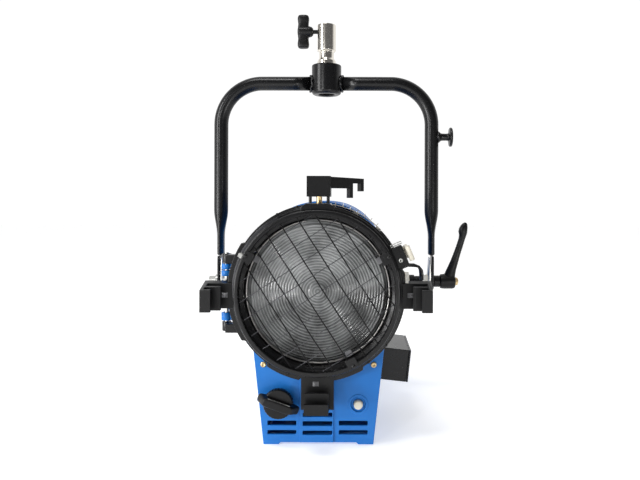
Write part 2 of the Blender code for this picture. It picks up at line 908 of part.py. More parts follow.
def door_ring():
    loops = [flange_outline(), circle(0.0885, sides=40)]
    ring = prism("door_ring", loops, -DOOR_REAR_Y, -FLANGE_Y, LENS_AXIS, "black_paint")
    bezel = turned(
        "bezel",
        [
            (GUARD_R + 0.0008, -BEZEL_Y),
            (BEZEL_R - 0.0015, -BEZEL_Y),
            (BEZEL_R, -BEZEL_Y - 0.0015),
            (BEZEL_R + 0.0005, 0.1860),
            (0.0940, 0.1780),
            (0.0830, 0.1780),
            (0.0830, -LENS_SEAT_Y),
            (LENS_R + 0.0005, -LENS_SEAT_Y),
            (LENS_R + 0.0005, 0.1990),
            (GUARD_R + 0.0008, 0.2020),
        ],
        LENS_AXIS,
        None,
        40,
        closed=True,
    )
    boss_outline = [(-0.020, BOSS_LOW), (0.020, BOSS_LOW), (0.020, 0.2893), (0.0140, BOSS_TOP),
                    (-0.0140, BOSS_TOP), (-0.020, 0.2893)]
    boss = prism("latch_boss", [boss_outline], 0.1505, -FLANGE_Y + 0.0105, FRONT)
    hinge_way = Matrix.Translation((HINGE_X, HINGE_Y, 0))
    knuckles = []
    for name, low, high in (("knuckle_upper", 0.221, 0.232), ("knuckle_lower", 0.138, 0.149)):
        knuckles.append(cylinder(name, KNUCKLE_R, low, high, hinge_way, sides=14))
        knuckles.append(box(name + "_arm", (HINGE_X, -0.185, low + GAP), (-0.094, -0.170, high - GAP)))
    join(ring, bezel, boss, *knuckles)
    latch_way = Matrix.Translation((0, LATCH_Y, 0))
    cut(
        ring,
        cylinder("latch_groove", 0.0136, 0.2865, 0.300, latch_way, sides=24),
        cylinder("latch_bore", 0.0040, 0.270, 0.290, latch_way, sides=12),
        cylinder("hinge_bore", PIN_R + GAP, 0.130, 0.240, hinge_way, sides=12),
    )
    return ring


def bracket_outline(rear=0.1820, drop=0.0):
    """Section of an accessory bracket: (distance from the lens axis, depth in front of the origin)."""
    outline = [
        (0.0990, 0.1903), (0.1085, 0.1903), (0.1086, rear), (0.1360, rear), (0.1334, 0.2200),
        (0.1210, 0.2200), (0.1210, 0.2165), (0.1300, 0.2165), (0.1300, 0.2075), (0.1120, 0.2075),
        (0.1120, 0.2040), (0.1300, 0.2040), (0.1300, 0.1935), (0.0990, 0.1935),
    ]
    return [(r + drop if r > 0.11 else r, depth) for r, depth in outline]


def side_bracket(side):
    """A stepped bracket beside the ring. Its top slopes down towards the front."""
    name = "bracket_right" if side > 0 else "bracket_left"
    low = 0.169
    high = 0.201
    outline = [(side * r, -depth) for r, depth in bracket_outline()]
    obj = prism(name, [outline], low, high, PLAN, "black_plastic")
    middle = (low + high) / 2
    for vertex in obj.data.vertices:
        if vertex.co.z > 0:
            vertex.co.z = high - middle - (-0.182 - vertex.co.y) * 0.170
    return obj


def bottom_bracket():
    frame = Matrix.Translation((0, 0, LENS_Z)) @ Matrix.Rotation(math.pi / 2, 4, "Y")
    outline = [(r, -depth) for r, depth in bracket_outline(0.1904, 0.004)]
    obj = prism("bracket_bottom", [outline], -0.0195, 0.0195, frame, "black_plastic")
    for side in (-1, 1):
        low_x, high_x = sorted((side * 0.0140, side * 0.03))
        cut(obj, box(f"bracket_shoulder_{side + 1}", (low_x, -0.25, 0.03), (high_x, -0.1936, 0.08)))
    return obj


def fresnel_lens():
    steps = 6
    reach = 0.0825
    front = -LENS_FRONT_Y
    seat = -LENS_SEAT_Y + GAP
    dome = [(reach * i / steps, front + LENS_BULGE * (1 - (i / steps) ** 2)) for i in range(steps + 1)]
    rim = [(LENS_R, front), (LENS_R, seat), (0.0800, seat), (0.0790, seat + 0.002), (0, seat + 0.002)]
    return smooth(turned("fresnel_lens", dome + rim, LENS_AXIS, "lens_glass", 40))


def lens_ring():
    """The sprung wire ring that holds the lens in its seat, octagonal in section."""
    section = circle(0.0012, (0.0852, 0.0016 - LENS_FRONT_Y), 6, math.pi / 6)[::-1]
    return turned("lens_ring", section, LENS_AXIS, "nickel", 40, closed=True)


def lens_clip(number, degrees):
    """A tab on the bezel that reaches over the edge of the wire guard."""
    outline = [(0.0840, 0.2093), (0.0962, 0.2093), (0.0962, 0.2112), (0.0840, 0.2112)]
    radial = LENS_AXIS @ Matrix.Rotation(math.radians(degrees), 4, "Z")
    upright = radial @ FRONT
    return prism(f"lens_clip_{number}", [outline], -0.007, 0.007, upright, "black_paint")


def wire_guard():
    """The mesh of crossed wires in front of the lens."""
    cells = 10
    bm = bmesh.new()
    bmesh.ops.create_grid(bm, x_segments=cells, y_segments=cells, size=GUARD_PITCH * cells / 2)
    bmesh.ops.translate(bm, vec=(GUARD_SHIFT, 0, 0), verts=bm.verts)
    outside = [v for v in bm.verts if v.co.length > GUARD_R]
    bmesh.ops.delete(bm, geom=outside, context="VERTS")
    mesh = bpy.data.meshes.new("wire_guard")
    bm.to_mesh(mesh)
    bm.free()
    frame = LENS_AXIS @ Matrix.Rotation(math.radians(GUARD_TURN), 4, "Z")
    obj = new_object("wire_guard", mesh, frame @ Matrix.Translation((0, 0, -GUARD_Y)), "steel")
    wires = obj.modifiers.new("wires", "WIREFRAME")
    wires.thickness = GUARD_WIRE
    wires.use_boundary = True
    wires.use_replace = True
    wires.use_even_offset = False
    return obj


def hinge_pin():
    way = Matrix.Translation((HINGE_X, HINGE_Y, 0))
    return bevel(cylinder("hinge_pin", PIN_R, 0.1365, 0.2335, way, "zinc", 12), 0.0006)


# Top latch ---------------------------------------------------------------------------------
def top_latch():
    """The self-locking latch: a sliding post, and the pronged arm that swings on it."""
    way = Matrix.Translation((0, LATCH_Y, 0))
    post = cylinder("latch_post", 0.0036, 0.2868, 0.3200, way, "brass", 12)
    block = box(
        "latch_arm",
        (-LATCH_HALF, LATCH_Y - LATCH_HALF, LATCH_LOW),
        (LATCH_HALF, LATCH_Y + LATCH_HALF, LATCH_TOP),
        "black_plastic",
    )
    pegs = [
        cylinder(f"peg_{side + 1}", 0.0020, BOSS_TOP + GAP, LATCH_LOW + 0.002,
                 way @ Matrix.Translation((side * 0.011, 0, 0)), sides=8)
        for side in (-1, 1)
    ]
    outline = [
        (0.0080, 0.3125), (0.0408, 0.3125), (0.0408, 0.3005), (0.0452, 0.3005), (0.0452, 0.3190),
        (0.0565, 0.3190), (0.0565, 0.3090), (0.0610, 0.3090), (0.0610, 0.3250), (0.0080, 0.3269),
    ]
    turn = way @ Matrix.Rotation(math.radians(ARM_TURN), 4, "Z")
    upright = turn @ FRONT
    arm = prism("latch_reach", [outline], -0.0045, 0.0045, upright)
    join(block, arm, *pegs)
    cut(block, cylinder("post_bore", 0.0039, 0.290, 0.3205, way, sides=12))
    return [post], [block]


# Door catch --------------------------------------------------------------------------------
def door_catch():
    """A sprung lever on the door whose roller end snaps over a keeper on the housing."""
    radial = LENS_AXIS @ Matrix.Rotation(math.radians(CATCH_TURN), 4, "Z")
    block = box("catch_block", (0.0992, -0.013, 0.1903), (0.1130, 0.013, 0.1975), "black_paint", radial)
    box("catch_keeper", (0.0876, -0.008, 0.1645), (0.1120, 0.008, 0.1700), "zinc", radial)
    lever = box("catch_lever", (0.1160, -0.009, 0.1610), (0.1205, 0.009, 0.1965), "ivory", radial)
    nose = box("catch_nose", (0.1130, -0.008, 0.1625), (0.1170, 0.008, 0.1655), None, radial)
    join(lever, nose)
    return [block], [lever]


# Assembly ----------------------------------------------------------------------------------
def build():
    front_casting()
    rear_casting()
    for side in (-1, 1):
        side_panel(side)
        front_screw(side)
        pivot_side(side)
    top_cover()
    vent_baffle()
    bottom_plate()
    rear_support()
    guide_rod()
    junction_box()
    hinge_pin()

    tilt = joint_axis("yoke_tilt_axis", (0, 0, PIVOT_Z))
    yoke = [collar(), spigot(), spigot_bolt(), safety_post()]
    for side in (-1, 1):
        yoke += yoke_side(side)
    hang_on(tilt, *yoke)
    clamp = joint_axis("clamp_axis", (0, 0, CLAMP_Z))
    hang_on(tilt, clamp)
    screw, pad = wing_screw()
    hang_on(clamp, *screw, *pad)

    lever_axis = joint_axis("tilt_lever_axis", (HUB_IN, 0, PIVOT_Z))
    insert, handle = tilt_lever()
    hang_on(lever_axis, *insert, *handle)

    knob_axis = joint_axis("focus_knob_axis", (KNOB_X, FRONT_Y, KNOB_Z))
    hang_on(knob_axis, *focus_knob())
    focus_way = joint_axis("focus_slide_axis", (ROD_X, LAMP_Y, ROD_Z))
    hang_on(focus_way, *lamp_carriage())

    door_axis = joint_axis("lens_door_axis", (HINGE_X, HINGE_Y, LENS_Z))
    door = [door_ring(), bottom_bracket(), fresnel_lens(), lens_ring(), wire_guard()]
    door += [side_bracket(side) for side in (-1, 1)]
    door += [lens_clip(i + 1, degrees) for i, degrees in enumerate((27, 152, 297))]
    block, lever = door_catch()
    hang_on(door_axis, *door, *block)
    latch_axis = joint_axis("latch_axis", (0, LATCH_Y, BOSS_TOP))
    hang_on(door_axis, latch_axis)
    post, arm = top_latch()
    hang_on(latch_axis, *post, *arm)
    turn = math.radians(CATCH_TURN)
    place = (0.1183 * math.cos(turn), -0.1935, LENS_Z + 0.1183 * math.sin(turn))
    catch_axis = joint_axis("catch_axis", place)
    hang_on(door_axis, catch_axis)
    hang_on(catch_axis, *lever)


clear_scene()
PARTS = new_collection("fresnel_spotlight")
CUTTERS = new_collection("fresnel_spotlight_cutters")
LOOKS = {name: new_material(name, *look) for name, look in MATERIALS.items()}
build()
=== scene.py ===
import json
import math

import bmesh
import bpy
from mathutils import Matrix, Vector

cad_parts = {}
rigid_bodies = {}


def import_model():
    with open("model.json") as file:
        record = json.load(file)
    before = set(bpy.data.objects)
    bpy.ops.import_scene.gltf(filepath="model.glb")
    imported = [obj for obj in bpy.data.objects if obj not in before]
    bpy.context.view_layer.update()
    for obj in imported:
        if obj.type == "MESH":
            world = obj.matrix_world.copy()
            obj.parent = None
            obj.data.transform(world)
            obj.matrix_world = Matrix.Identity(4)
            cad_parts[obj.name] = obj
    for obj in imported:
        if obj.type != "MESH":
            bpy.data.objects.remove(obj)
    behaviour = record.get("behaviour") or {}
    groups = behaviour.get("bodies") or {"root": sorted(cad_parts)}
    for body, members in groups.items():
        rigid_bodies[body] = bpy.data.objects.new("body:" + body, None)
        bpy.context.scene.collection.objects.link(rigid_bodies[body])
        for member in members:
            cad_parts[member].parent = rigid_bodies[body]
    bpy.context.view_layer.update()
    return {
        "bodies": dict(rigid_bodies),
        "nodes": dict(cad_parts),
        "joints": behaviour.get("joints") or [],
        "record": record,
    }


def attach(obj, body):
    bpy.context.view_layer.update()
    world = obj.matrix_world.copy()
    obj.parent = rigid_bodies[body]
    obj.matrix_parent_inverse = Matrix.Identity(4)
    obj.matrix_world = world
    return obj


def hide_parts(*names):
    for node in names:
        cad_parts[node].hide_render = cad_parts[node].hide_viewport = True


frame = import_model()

NODES = frame["nodes"]

# Camera: straight at the lens side, over the lens and a little to the right
CAMERA_AT = (0.0463, -0.904, 0.298)
CAMERA_LENS = 33.75
CAMERA_SENSOR = 36.0
CAMERA_SHIFT = (-0.0578, -0.0625)
CAMERA_ROLL = -0.15

# Axes and radii shared with the CAD, in metres
LENS_Z = 0.189
PIVOT_Z = 0.176
YOKE_X = 0.1583
YOKE_TOP_Z = 0.473
YOKE_BEND = 0.0620
TUBE_R = 0.0104
HINGE = (-0.113, -0.168)
KNOB = (-0.0474, 0.0537)
ROD = (0.0485, 0.049)
LATCH_Y = -0.168
LAMP_Y = -0.020
BASE_HALF = 0.067
SIDE_SLOPE = 0.1104
ARCH_Z = 0.207
FRONT_Y = -0.173
REAR_Y = 0.150
KNOB_TURN = -19
CLIP_TURNS = (27, 152, 297)

# Lens rings and wire guard
LENS_STEPS = 21
LENS_CORE = 0.0100
LENS_REACH = 0.0810
GUARD_R = 0.0912
GUARD_TURN = 33
GUARD_PITCH = 0.0200
GUARD_SHIFT = -0.0078
GUARD_WIRES = 5

# Local frames: x and y of an outline, and z of its thickness, as world directions
FRONT = Matrix(((1, 0, 0, 0), (0, 0, -1, 0), (0, 1, 0, 0), (0, 0, 0, 1)))
SIDE = Matrix(((0, 0, 1, 0), (1, 0, 0, 0), (0, 1, 0, 0), (0, 0, 0, 1)))
FLAT = Matrix.Identity(4)
LENS_AXIS = Matrix.Translation((0, 0, LENS_Z)) @ FRONT
PIVOT_AXIS = Matrix.Translation((0, 0, PIVOT_Z)) @ SIDE
REPLACED = set()


# Materials ---------------------------------------------------------------------------------
def material(name):
    made = bpy.data.materials.new(name)
    made.use_nodes = True
    tree = made.node_tree
    shader = tree.nodes["Principled BSDF"]
    where = tree.nodes.new("ShaderNodeTexCoord")
    return made, tree, shader, where


def noise_node(tree, where, scale, detail=3.0, rough=0.55, stretch=None):
    node = tree.nodes.new("ShaderNodeTexNoise")
    node.inputs["Scale"].default_value = scale
    node.inputs["Detail"].default_value = detail
    node.inputs["Roughness"].default_value = rough
    source = where.outputs["Object"]
    if stretch:
        squeeze = tree.nodes.new("ShaderNodeMapping")
        squeeze.inputs["Scale"].default_value = stretch
        tree.links.new(source, squeeze.inputs["Vector"])
        source = squeeze.outputs["Vector"]
    tree.links.new(source, node.inputs["Vector"])
    return node


def ramp(tree, source, stops):
    node = tree.nodes.new("ShaderNodeValToRGB")
    while len(node.color_ramp.elements) < len(stops):
        node.color_ramp.elements.new(0.5)
    for element, (place, colour) in zip(node.color_ramp.elements, stops):
        element.position = place
        element.color = (*colour, 1.0)
    tree.links.new(source, node.inputs["Fac"])
    return node.outputs["Color"]


def spread(tree, source, low, high):
    """The noise as a number between low and high."""
    node = tree.nodes.new("ShaderNodeMapRange")
    node.inputs["From Min"].default_value = 0.3
    node.inputs["From Max"].default_value = 0.7
    node.inputs["To Min"].default_value = low
    node.inputs["To Max"].default_value = high
    tree.links.new(source, node.inputs["Value"])
    return node.outputs["Result"]


def bump(tree, shader, source, distance, strength=1.0):
    node = tree.nodes.new("ShaderNodeBump")
    node.inputs["Distance"].default_value = distance
    node.inputs["Strength"].default_value = strength
    tree.links.new(source, node.inputs["Height"])
    tree.links.new(node.outputs["Normal"], shader.inputs["Normal"])


def painted(name, base, light, rough, gleam=0.5, depth=0.00005, patchy=0.06):
    """Powder coat: a little colour drift, uneven gloss and orange peel."""
    made, tree, shader, where = material(name)
    drift = noise_node(tree, where, 18.0, 4.0)
    colour = ramp(tree, drift.outputs["Fac"], ((0.35, base), (0.75, light)))
    tree.links.new(colour, shader.inputs["Base Color"])
    gloss = noise_node(tree, where, 60.0, 5.0)
    shine = spread(tree, gloss.outputs["Fac"], rough - patchy, rough + patchy)
    tree.links.new(shine, shader.inputs["Roughness"])
    skin = noise_node(tree, where, 900.0, 2.0)
    bump(tree, shader, skin.outputs["Fac"], depth, 0.5)
    shader.inputs["Specular IOR Level"].default_value = gleam
    return made


def moulded(name, base, light, rough):
    """Plastic from a spark-eroded mould: fine grain and rubbed patches."""
    made, tree, shader, where = material(name)
    rub = noise_node(tree, where, 35.0, 6.0, 0.65)
    colour = ramp(tree, rub.outputs["Fac"], ((0.40, base), (0.80, light)))
    tree.links.new(colour, shader.inputs["Base Color"])
    tree.links.new(spread(tree, rub.outputs["Fac"], rough + 0.06, rough - 0.06), shader.inputs["Roughness"])
    grain = noise_node(tree, where, 2200.0, 2.0)
    bump(tree, shader, grain.outputs["Fac"], 0.00004, 0.5)
    shader.inputs["Specular IOR Level"].default_value = 0.25
    return made


def metal(name, base, dark, rough, lines=(1.0, 1.0, 60.0), depth=0.000012, patchy=0.05):
    """Bare or plated metal with turning or brushing lines across the stretched axis."""
    made, tree, shader, where = material(name)
    shader.inputs["Metallic"].default_value = 1.0
    stain = noise_node(tree, where, 40.0, 5.0)
    colour = ramp(tree, stain.outputs["Fac"], ((0.22, dark), (0.50, base)))
    tree.links.new(colour, shader.inputs["Base Color"])
    brush = noise_node(tree, where, 60.0, 3.0, 0.6, lines)
    shine = spread(tree, brush.outputs["Fac"], rough - patchy, rough + patchy)
    tree.links.new(shine, shader.inputs["Roughness"])
    bump(tree, shader, brush.outputs["Fac"], depth, 0.4)
    return made


def ring_glass(name):
    """Pressed lens glass: grey, with painted ring shading as a fine colour ripple round the lens axis, and
    painted light and shade: lighter at the upper left, darker at the lower right.
    """
    made, tree, shader, where = material(name)
    middle = tree.nodes.new("ShaderNodeMapping")
    middle.inputs["Location"].default_value = (0.0, 0.0, -LENS_Z)
    middle.inputs["Scale"].default_value = (1.0, 0.0, 1.0)
    tree.links.new(where.outputs["Object"], middle.inputs["Vector"])
    length = tree.nodes.new("ShaderNodeVectorMath")
    length.operation = "LENGTH"
    tree.links.new(middle.outputs["Vector"], length.inputs[0])
    # Painted ring shading: a sine ripple of colour across the rings stands in for the light and shade of the
    # ring facets.
    ripple = tree.nodes.new("ShaderNodeMath")
    ripple.operation = "MULTIPLY"
    ripple.inputs[1].default_value = 2 * math.pi * LENS_STEPS / (LENS_REACH - LENS_CORE)
    tree.links.new(length.outputs["Value"], ripple.inputs[0])
    wave = tree.nodes.new("ShaderNodeMath")
    wave.operation = "SINE"
    tree.links.new(ripple.outputs["Value"], wave.inputs[0])
    smear = noise_node(tree, where, 26.0, 4.0)
    painted_rings_and_light = tree.nodes.new("ShaderNodeMath")
    painted_rings_and_light.operation = "MULTIPLY_ADD"
    painted_rings_and_light.inputs[1].default_value = 0.09
    tree.links.new(wave.outputs["Value"], painted_rings_and_light.inputs[0])
    # Painted highlight and shade: the colour grows lighter towards the upper left and darker towards the
    # lower right.
    lean = tree.nodes.new("ShaderNodeVectorMath")
    lean.operation = "DOT_PRODUCT"
    lean.inputs[1].default_value = (-1.6, 0.0, 2.0)
    tree.links.new(middle.outputs["Vector"], lean.inputs[0])
    # Random smear tone plus the painted highlight and shade.
    smear_and_painted_light = tree.nodes.new("ShaderNodeMath")
    smear_and_painted_light.operation = "ADD"
    tree.links.new(smear.outputs["Fac"], smear_and_painted_light.inputs[0])
    tree.links.new(lean.outputs["Value"], smear_and_painted_light.inputs[1])
    tree.links.new(smear_and_painted_light.outputs["Value"], painted_rings_and_light.inputs[2])
    stops = ((0.28, (0.040, 0.041, 0.041)), (0.50, (0.16, 0.165, 0.165)), (0.75, (0.34, 0.35, 0.35)))
    tree.links.new(ramp(tree, painted_rings_and_light.outputs["Value"], stops), shader.inputs["Base Color"])
    tree.links.new(spread(tree, smear.outputs["Fac"], 0.10, 0.20), shader.inputs["Roughness"])
    shader.inputs["Transmission Weight"].default_value = 0.25
    shader.inputs["IOR"].default_value = 1.5
    return made


def clear_glass(name, tint, rough, through=1.0):
    made, tree, shader, where = material(name)
    shader.inputs["Base Color"].default_value = (*tint, 1.0)
    shader.inputs["Transmission Weight"].default_value = through
    shader.inputs["IOR"].default_value = 1.47
    smear = noise_node(tree, where, 30.0, 4.0)
    tree.links.new(spread(tree, smear.outputs["Fac"], rough, rough + 0.05), shader.inputs["Roughness"])
    return made


def chalky(name, base, light, rough, scale=400.0):
    """Ceramic or aged cream plastic."""
    made, tree, shader, where = material(name)
    mottle = noise_node(tree, where, 80.0, 5.0)
    colour = ramp(tree, mottle.outputs["Fac"], ((0.30, base), (0.70, light)))
    tree.links.new(colour, shader.inputs["Base Color"])
    tree.links.new(spread(tree, mottle.outputs["Fac"], rough - 0.08, rough + 0.08),
        shader.inputs["Roughness"])
    grain = noise_node(tree, where, scale, 3.0)
    bump(tree, shader, grain.outputs["Fac"], 0.00005, 0.5)
    return made


LOOKS = {
    "blue_paint": painted("blue_paint", (0.011, 0.140, 0.46), (0.015, 0.160, 0.51), 0.36, 0.25),
    "black_paint": painted(
        "black_paint", (0.0035, 0.0035, 0.0038), (0.0050, 0.0050, 0.0055), 0.28, 0.30, 0.000012, 0.02
    ),
    "black_plastic": moulded("black_plastic", (0.0038, 0.0038, 0.0040), (0.0070, 0.0070, 0.0074), 0.38),
    "nickel": metal("nickel", (0.76, 0.72, 0.65), (0.70, 0.66, 0.59), 0.20, (1.0, 1.0, 1.0), 0.000002, 0.02),
    "zinc": metal("zinc", (0.50, 0.50, 0.48), (0.34, 0.34, 0.32), 0.34),
    "brass": metal("brass", (0.66, 0.50, 0.27), (0.40, 0.28, 0.14), 0.38),
    "steel": metal("steel", (0.50, 0.50, 0.51), (0.34, 0.34, 0.35), 0.38),
    "ivory_plastic": chalky("ivory_plastic", (0.62, 0.58, 0.47), (0.74, 0.70, 0.60), 0.45),
    "ceramic": chalky("ceramic", (0.72, 0.70, 0.64), (0.84, 0.82, 0.78), 0.60),
    "lens_glass": ring_glass("lens_glass"),
    "lamp_glass": clear_glass("lamp_glass", (0.95, 0.96, 0.96), 0.01),
    "mirror": metal("mirror", (0.86, 0.86, 0.87), (0.78, 0.78, 0.79), 0.12, (1.0, 1.0, 1.0)),
    "black_wire": painted(
        "black_wire", (0.0030, 0.0030, 0.0032), (0.0045, 0.0045, 0.0050), 0.40, 0.20, 0.000010, 0.02
    ),
    "dark_spring": metal("dark_spring", (0.07, 0.07, 0.075), (0.035, 0.035, 0.038), 0.32),
    "ring_nickel": metal("ring_nickel", (0.30, 0.29, 0.28), (0.20, 0.19, 0.18), 0.30),
    "nub_plastic": moulded("nub_plastic", (0.12, 0.12, 0.125), (0.22, 0.22, 0.23), 0.35),
}


# Shapes ------------------------------------------------------------------------------------
def add(name, mesh, frame, look, body, edge=0.0005, stands_for=(), segments=2):
    """A shown piece: smooth, with rounded edges, riding on its CAD body."""
    mesh.transform(frame)
    mesh.update()
    obj = bpy.data.objects.new(name, mesh)
    bpy.context.scene.collection.objects.link(obj)
    mesh.materials.clear()
    mesh.materials.append(LOOKS[look])
    mesh.shade_smooth()
    if edge:
        rounding = obj.modifiers.new("edge", "BEVEL")
        rounding.width = edge
        rounding.segments = segments
        rounding.limit_method = "ANGLE"
        rounding.angle_limit = math.radians(32)
        rounding.use_clamp_overlap = True
    even = obj.modifiers.new("normals", "WEIGHTED_NORMAL")
    even.keep_sharp = False
    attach(obj, body)
    if stands_for:
        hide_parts(*stands_for)
        REPLACED.update(stands_for)
    return obj


def from_data(name, verts, faces):
    mesh = bpy.data.meshes.new(name)
    mesh.from_pydata(verts, [], faces)
    bm = bmesh.new()
    bm.from_mesh(mesh)
    bmesh.ops.remove_doubles(bm, verts=bm.verts, dist=0.000005)
    bmesh.ops.recalc_face_normals(bm, faces=bm.faces)
    bm.to_mesh(mesh)
    bm.free()
    return mesh


def joined(name, pieces):
    """One mesh from (mesh, matrix) pairs."""
    bm = bmesh.new()
    for mesh, place in pieces:
        mesh.transform(place)
        bm.from_mesh(mesh)
        bpy.data.meshes.remove(mesh)
    made = bpy.data.meshes.new(name)
    bm.to_mesh(made)
    bm.free()
    return made


def lathe(profile, steps=96, closed=False):
    """A turned shape about local z from (radius, height) points."""
    verts = []
    rings = []
    for radius, height in profile:
        count = 1 if radius < 0.000001 else steps
        rings.append(range(len(verts), len(verts) + count))
        for i in range(count):
            turn = 2 * math.pi * i / steps
            verts.append((radius * math.cos(turn), radius * math.sin(turn), height))
    pairs = list(zip(rings, rings[1:]))
    if closed:
        pairs.append((rings[-1], rings[0]))
    faces = []
    for one, two in pairs:
        for i in range(steps):
            j = (i + 1) % steps
            corners = (one[i % len(one)], two[i % len(two)], two[j % len(two)], one[j % len(one)])
            face = list(dict.fromkeys(corners))
            if len(face) > 2:
                faces.append(face)
    return from_data("lathe", verts, faces)


def loft(stations, sides=32, power=2.0):
    """A skin over rounded sections. Each station is (centre, half axis one, half axis two)."""
    verts = []
    for centre, one, two in stations:
        for i in range(sides):
            turn = 2 * math.pi * i / sides
            c, s = math.cos(turn), math.sin(turn)
            c = math.copysign(abs(c) ** (2 / power), c)
            s = math.copysign(abs(s) ** (2 / power), s)
            verts.append(tuple(Vector(centre) + Vector(one) * c + Vector(two) * s))
    faces = []
    for k in range(len(stations) - 1):
        for i in range(sides):
            j = (i + 1) % sides
            faces.append((k * sides + i, k * sides + j, (k + 1) * sides + j, (k + 1) * sides + i))
    faces.append(tuple(range(sides))[::-1])
    faces.append(tuple(range(len(verts) - sides, len(verts))))
    return from_data("loft", verts, faces)


def wire(paths, radius, sides=3):
    """Round wires along lists of points."""
    curve = bpy.data.curves.new("wire", "CURVE")
    curve.dimensions = "3D"
    curve.bevel_depth = radius
    curve.bevel_resolution = sides
    curve.use_fill_caps = True
    for points in paths:
        spline = curve.splines.new("POLY")
        spline.points.add(len(points) - 1)
        for point, place in zip(spline.points, points):
            point.co = (*place, 1)
    return to_mesh(curve)


def to_mesh(curve):
    guide = bpy.data.objects.new("guide", curve)
    bpy.context.scene.collection.objects.link(guide)
    graph = bpy.context.evaluated_depsgraph_get()
    mesh = bpy.data.meshes.new_from_object(guide.evaluated_get(graph))
    bpy.data.objects.remove(guide, do_unlink=True)
    bpy.data.curves.remove(curve)
    return mesh


def plate(loops, low, high, edge=0.0004):
    """A flat outline with holes, from low to high, its rims rounded by edge."""
    curve = bpy.data.curves.new("plate", "CURVE")
    curve.dimensions = "2D"
    curve.fill_mode = "BOTH"
    curve.extrude = (high - low) / 2 - edge
    curve.bevel_depth = edge
    curve.bevel_resolution = 1
    curve.offset = -edge
    for loop in loops:
        spline = curve.splines.new("POLY")
        spline.points.add(len(loop) - 1)
        for point, (x, y) in zip(spline.points, loop):
            point.co = (x, y, 0, 1)
        spline.use_cyclic_u = True
    mesh = to_mesh(curve)
    mesh.transform(Matrix.Translation((0, 0, (low + high) / 2)))
    return mesh


def block(low, high):
    low, high = Vector(low), Vector(high)
    bm = bmesh.new()
    bmesh.ops.create_cube(bm, size=1.0)
    bmesh.ops.scale(bm, vec=high - low, verts=bm.verts)
    bmesh.ops.translate(bm, vec=(low + high) / 2, verts=bm.verts)
    mesh = bpy.data.meshes.new("block")
    bm.to_mesh(mesh)
    bm.free()
    return mesh


def at(x=0.0, y=0.0, z=0.0):
    return Matrix.Translation((x, y, z))


def spin(degrees, axis="Z"):
    return Matrix.Rotation(math.radians(degrees), 4, axis)


# Outlines ----------------------------------------------------------------------------------
def ring_of(radius, sides=96, centre=(0.0, 0.0)):
    turns = [2 * math.pi * i / sides for i in range(sides)]
    return [(centre[0] + radius * math.cos(t), centre[1] + radius * math.sin(t)) for t in turns]


def slot_of(left, right, low, high, corner=0.0012):
    """A rectangle with rounded corners."""
    points = []
    for x, y, start in (
        (right - corner, high - corner, 0),
        (left + corner, high - corner, 90),
        (left + corner, low + corner, 180),
        (right - corner, low + corner, 270),
    ):
        for i in range(5):
            turn = math.radians(start + 22.5 * i)
            points.append((x + corner * math.cos(turn), y + corner * math.sin(turn)))
    return points


def half_width(z):
    return BASE_HALF + SIDE_SLOPE * z


def arch(centre_z, inset, sides=72):
    lean = math.atan(SIDE_SLOPE)
    radius = half_width(centre_z) * math.cos(lean) - inset
    turns = [-lean + (math.pi + 2 * lean) * i / sides for i in range(sides + 1)]
    return [(radius * math.cos(t), centre_z + radius * math.sin(t)) for t in turns]


def side_x(z, inset):
    return half_width(z) - inset / math.cos(math.atan(SIDE_SLOPE))


def casting_outline(centre_z, inset=0.0):
    foot = 0.046
    low = inset
    lift = 0.0025 + inset
    edge = side_x(low, inset)
    left = [(-edge, low), (-foot - 0.0025, low), (-foot, lift)]
    return arch(centre_z, inset) + left + [(foot, lift), (foot + 0.0025, low), (edge, low)]


def inner_outline(centre_z, inset, low):
    edge = side_x(low, inset)
    return arch(centre_z, inset) + [(-edge, low), (edge, low)]


# Housing -----------------------------------------------------------------------------------
def casting_meshes(centre_z, holes):
    """Plate and rim of an end casting, with the depth counted from the rim's edge."""
    plate_mesh = plate([casting_outline(centre_z)] + holes, 0.019, 0.023, 0.0006)
    rim_loops = [casting_outline(centre_z, 0.00005), inner_outline(centre_z, 0.004, 0.0065)]
    return [plate_mesh, plate(rim_loops, 0.0, 0.0215, 0.0003)]


def front_slots():
    found = []
    for left, right in ((-0.062, -0.027), (-0.019, 0.017), (0.025, 0.060)):
        for low, high in ((0.0124, 0.0173), (0.0233, 0.0288)):
            found.append(slot_of(left, right, low, high, 0.0009))
    found.append(slot_of(-0.019, 0.017, 0.0343, 0.0392, 0.0009))
    return found


def front_casting():
    slots = front_slots()
    holes = slots + [ring_of(0.080, 128, (0, LENS_Z)), ring_of(0.0043, 32, KNOB), ring_of(0.0092, 48, ROD)]
    shift = at(0, FRONT_Y + 0.023, 0) @ FRONT
    pieces = [(mesh, shift) for mesh in casting_meshes(LENS_Z, holes)]
    column = [slot_of(-0.023, 0.0185, 0.0030, 0.086, 0.0008)] + slots[2:4] + slots[6:]
    pieces.append((plate(column, 0.1710, 0.1747, 0.0006), FRONT))
    boss = [ring_of(0.0122, 64, ROD), ring_of(0.0092, 64, ROD)]
    pieces.append((plate(boss, 0.1715, 0.1736, 0.0005), FRONT))
    for low, high in ((0.205, 0.2114), (0.2131, 0.2195), (0.151, 0.160)):
        ear = block((HINGE[0], HINGE[1] - 0.0043, low), (-0.0835, HINGE[1] + 0.0060, high))
        pieces.append((ear, FLAT))
        eye = [(0.0029, high), (0.0065, high), (0.0065, low), (0.0029, low)]
        pieces.append((lathe(eye, 48, True), at(*HINGE, 0)))
    mesh = joined("front_casting", pieces)
    add("front_casting_shell", mesh, FLAT, "blue_paint", "head", 0, ("front_casting",))
    well = lathe([(0.0059, 0.1712), (0.0095, 0.1712), (0.0095, 0.1695), (0.0059, 0.1695)], 64, True)
    add("rod_well", well, at(ROD[0], 0, ROD[1]) @ FRONT, "blue_paint", "head", 0)


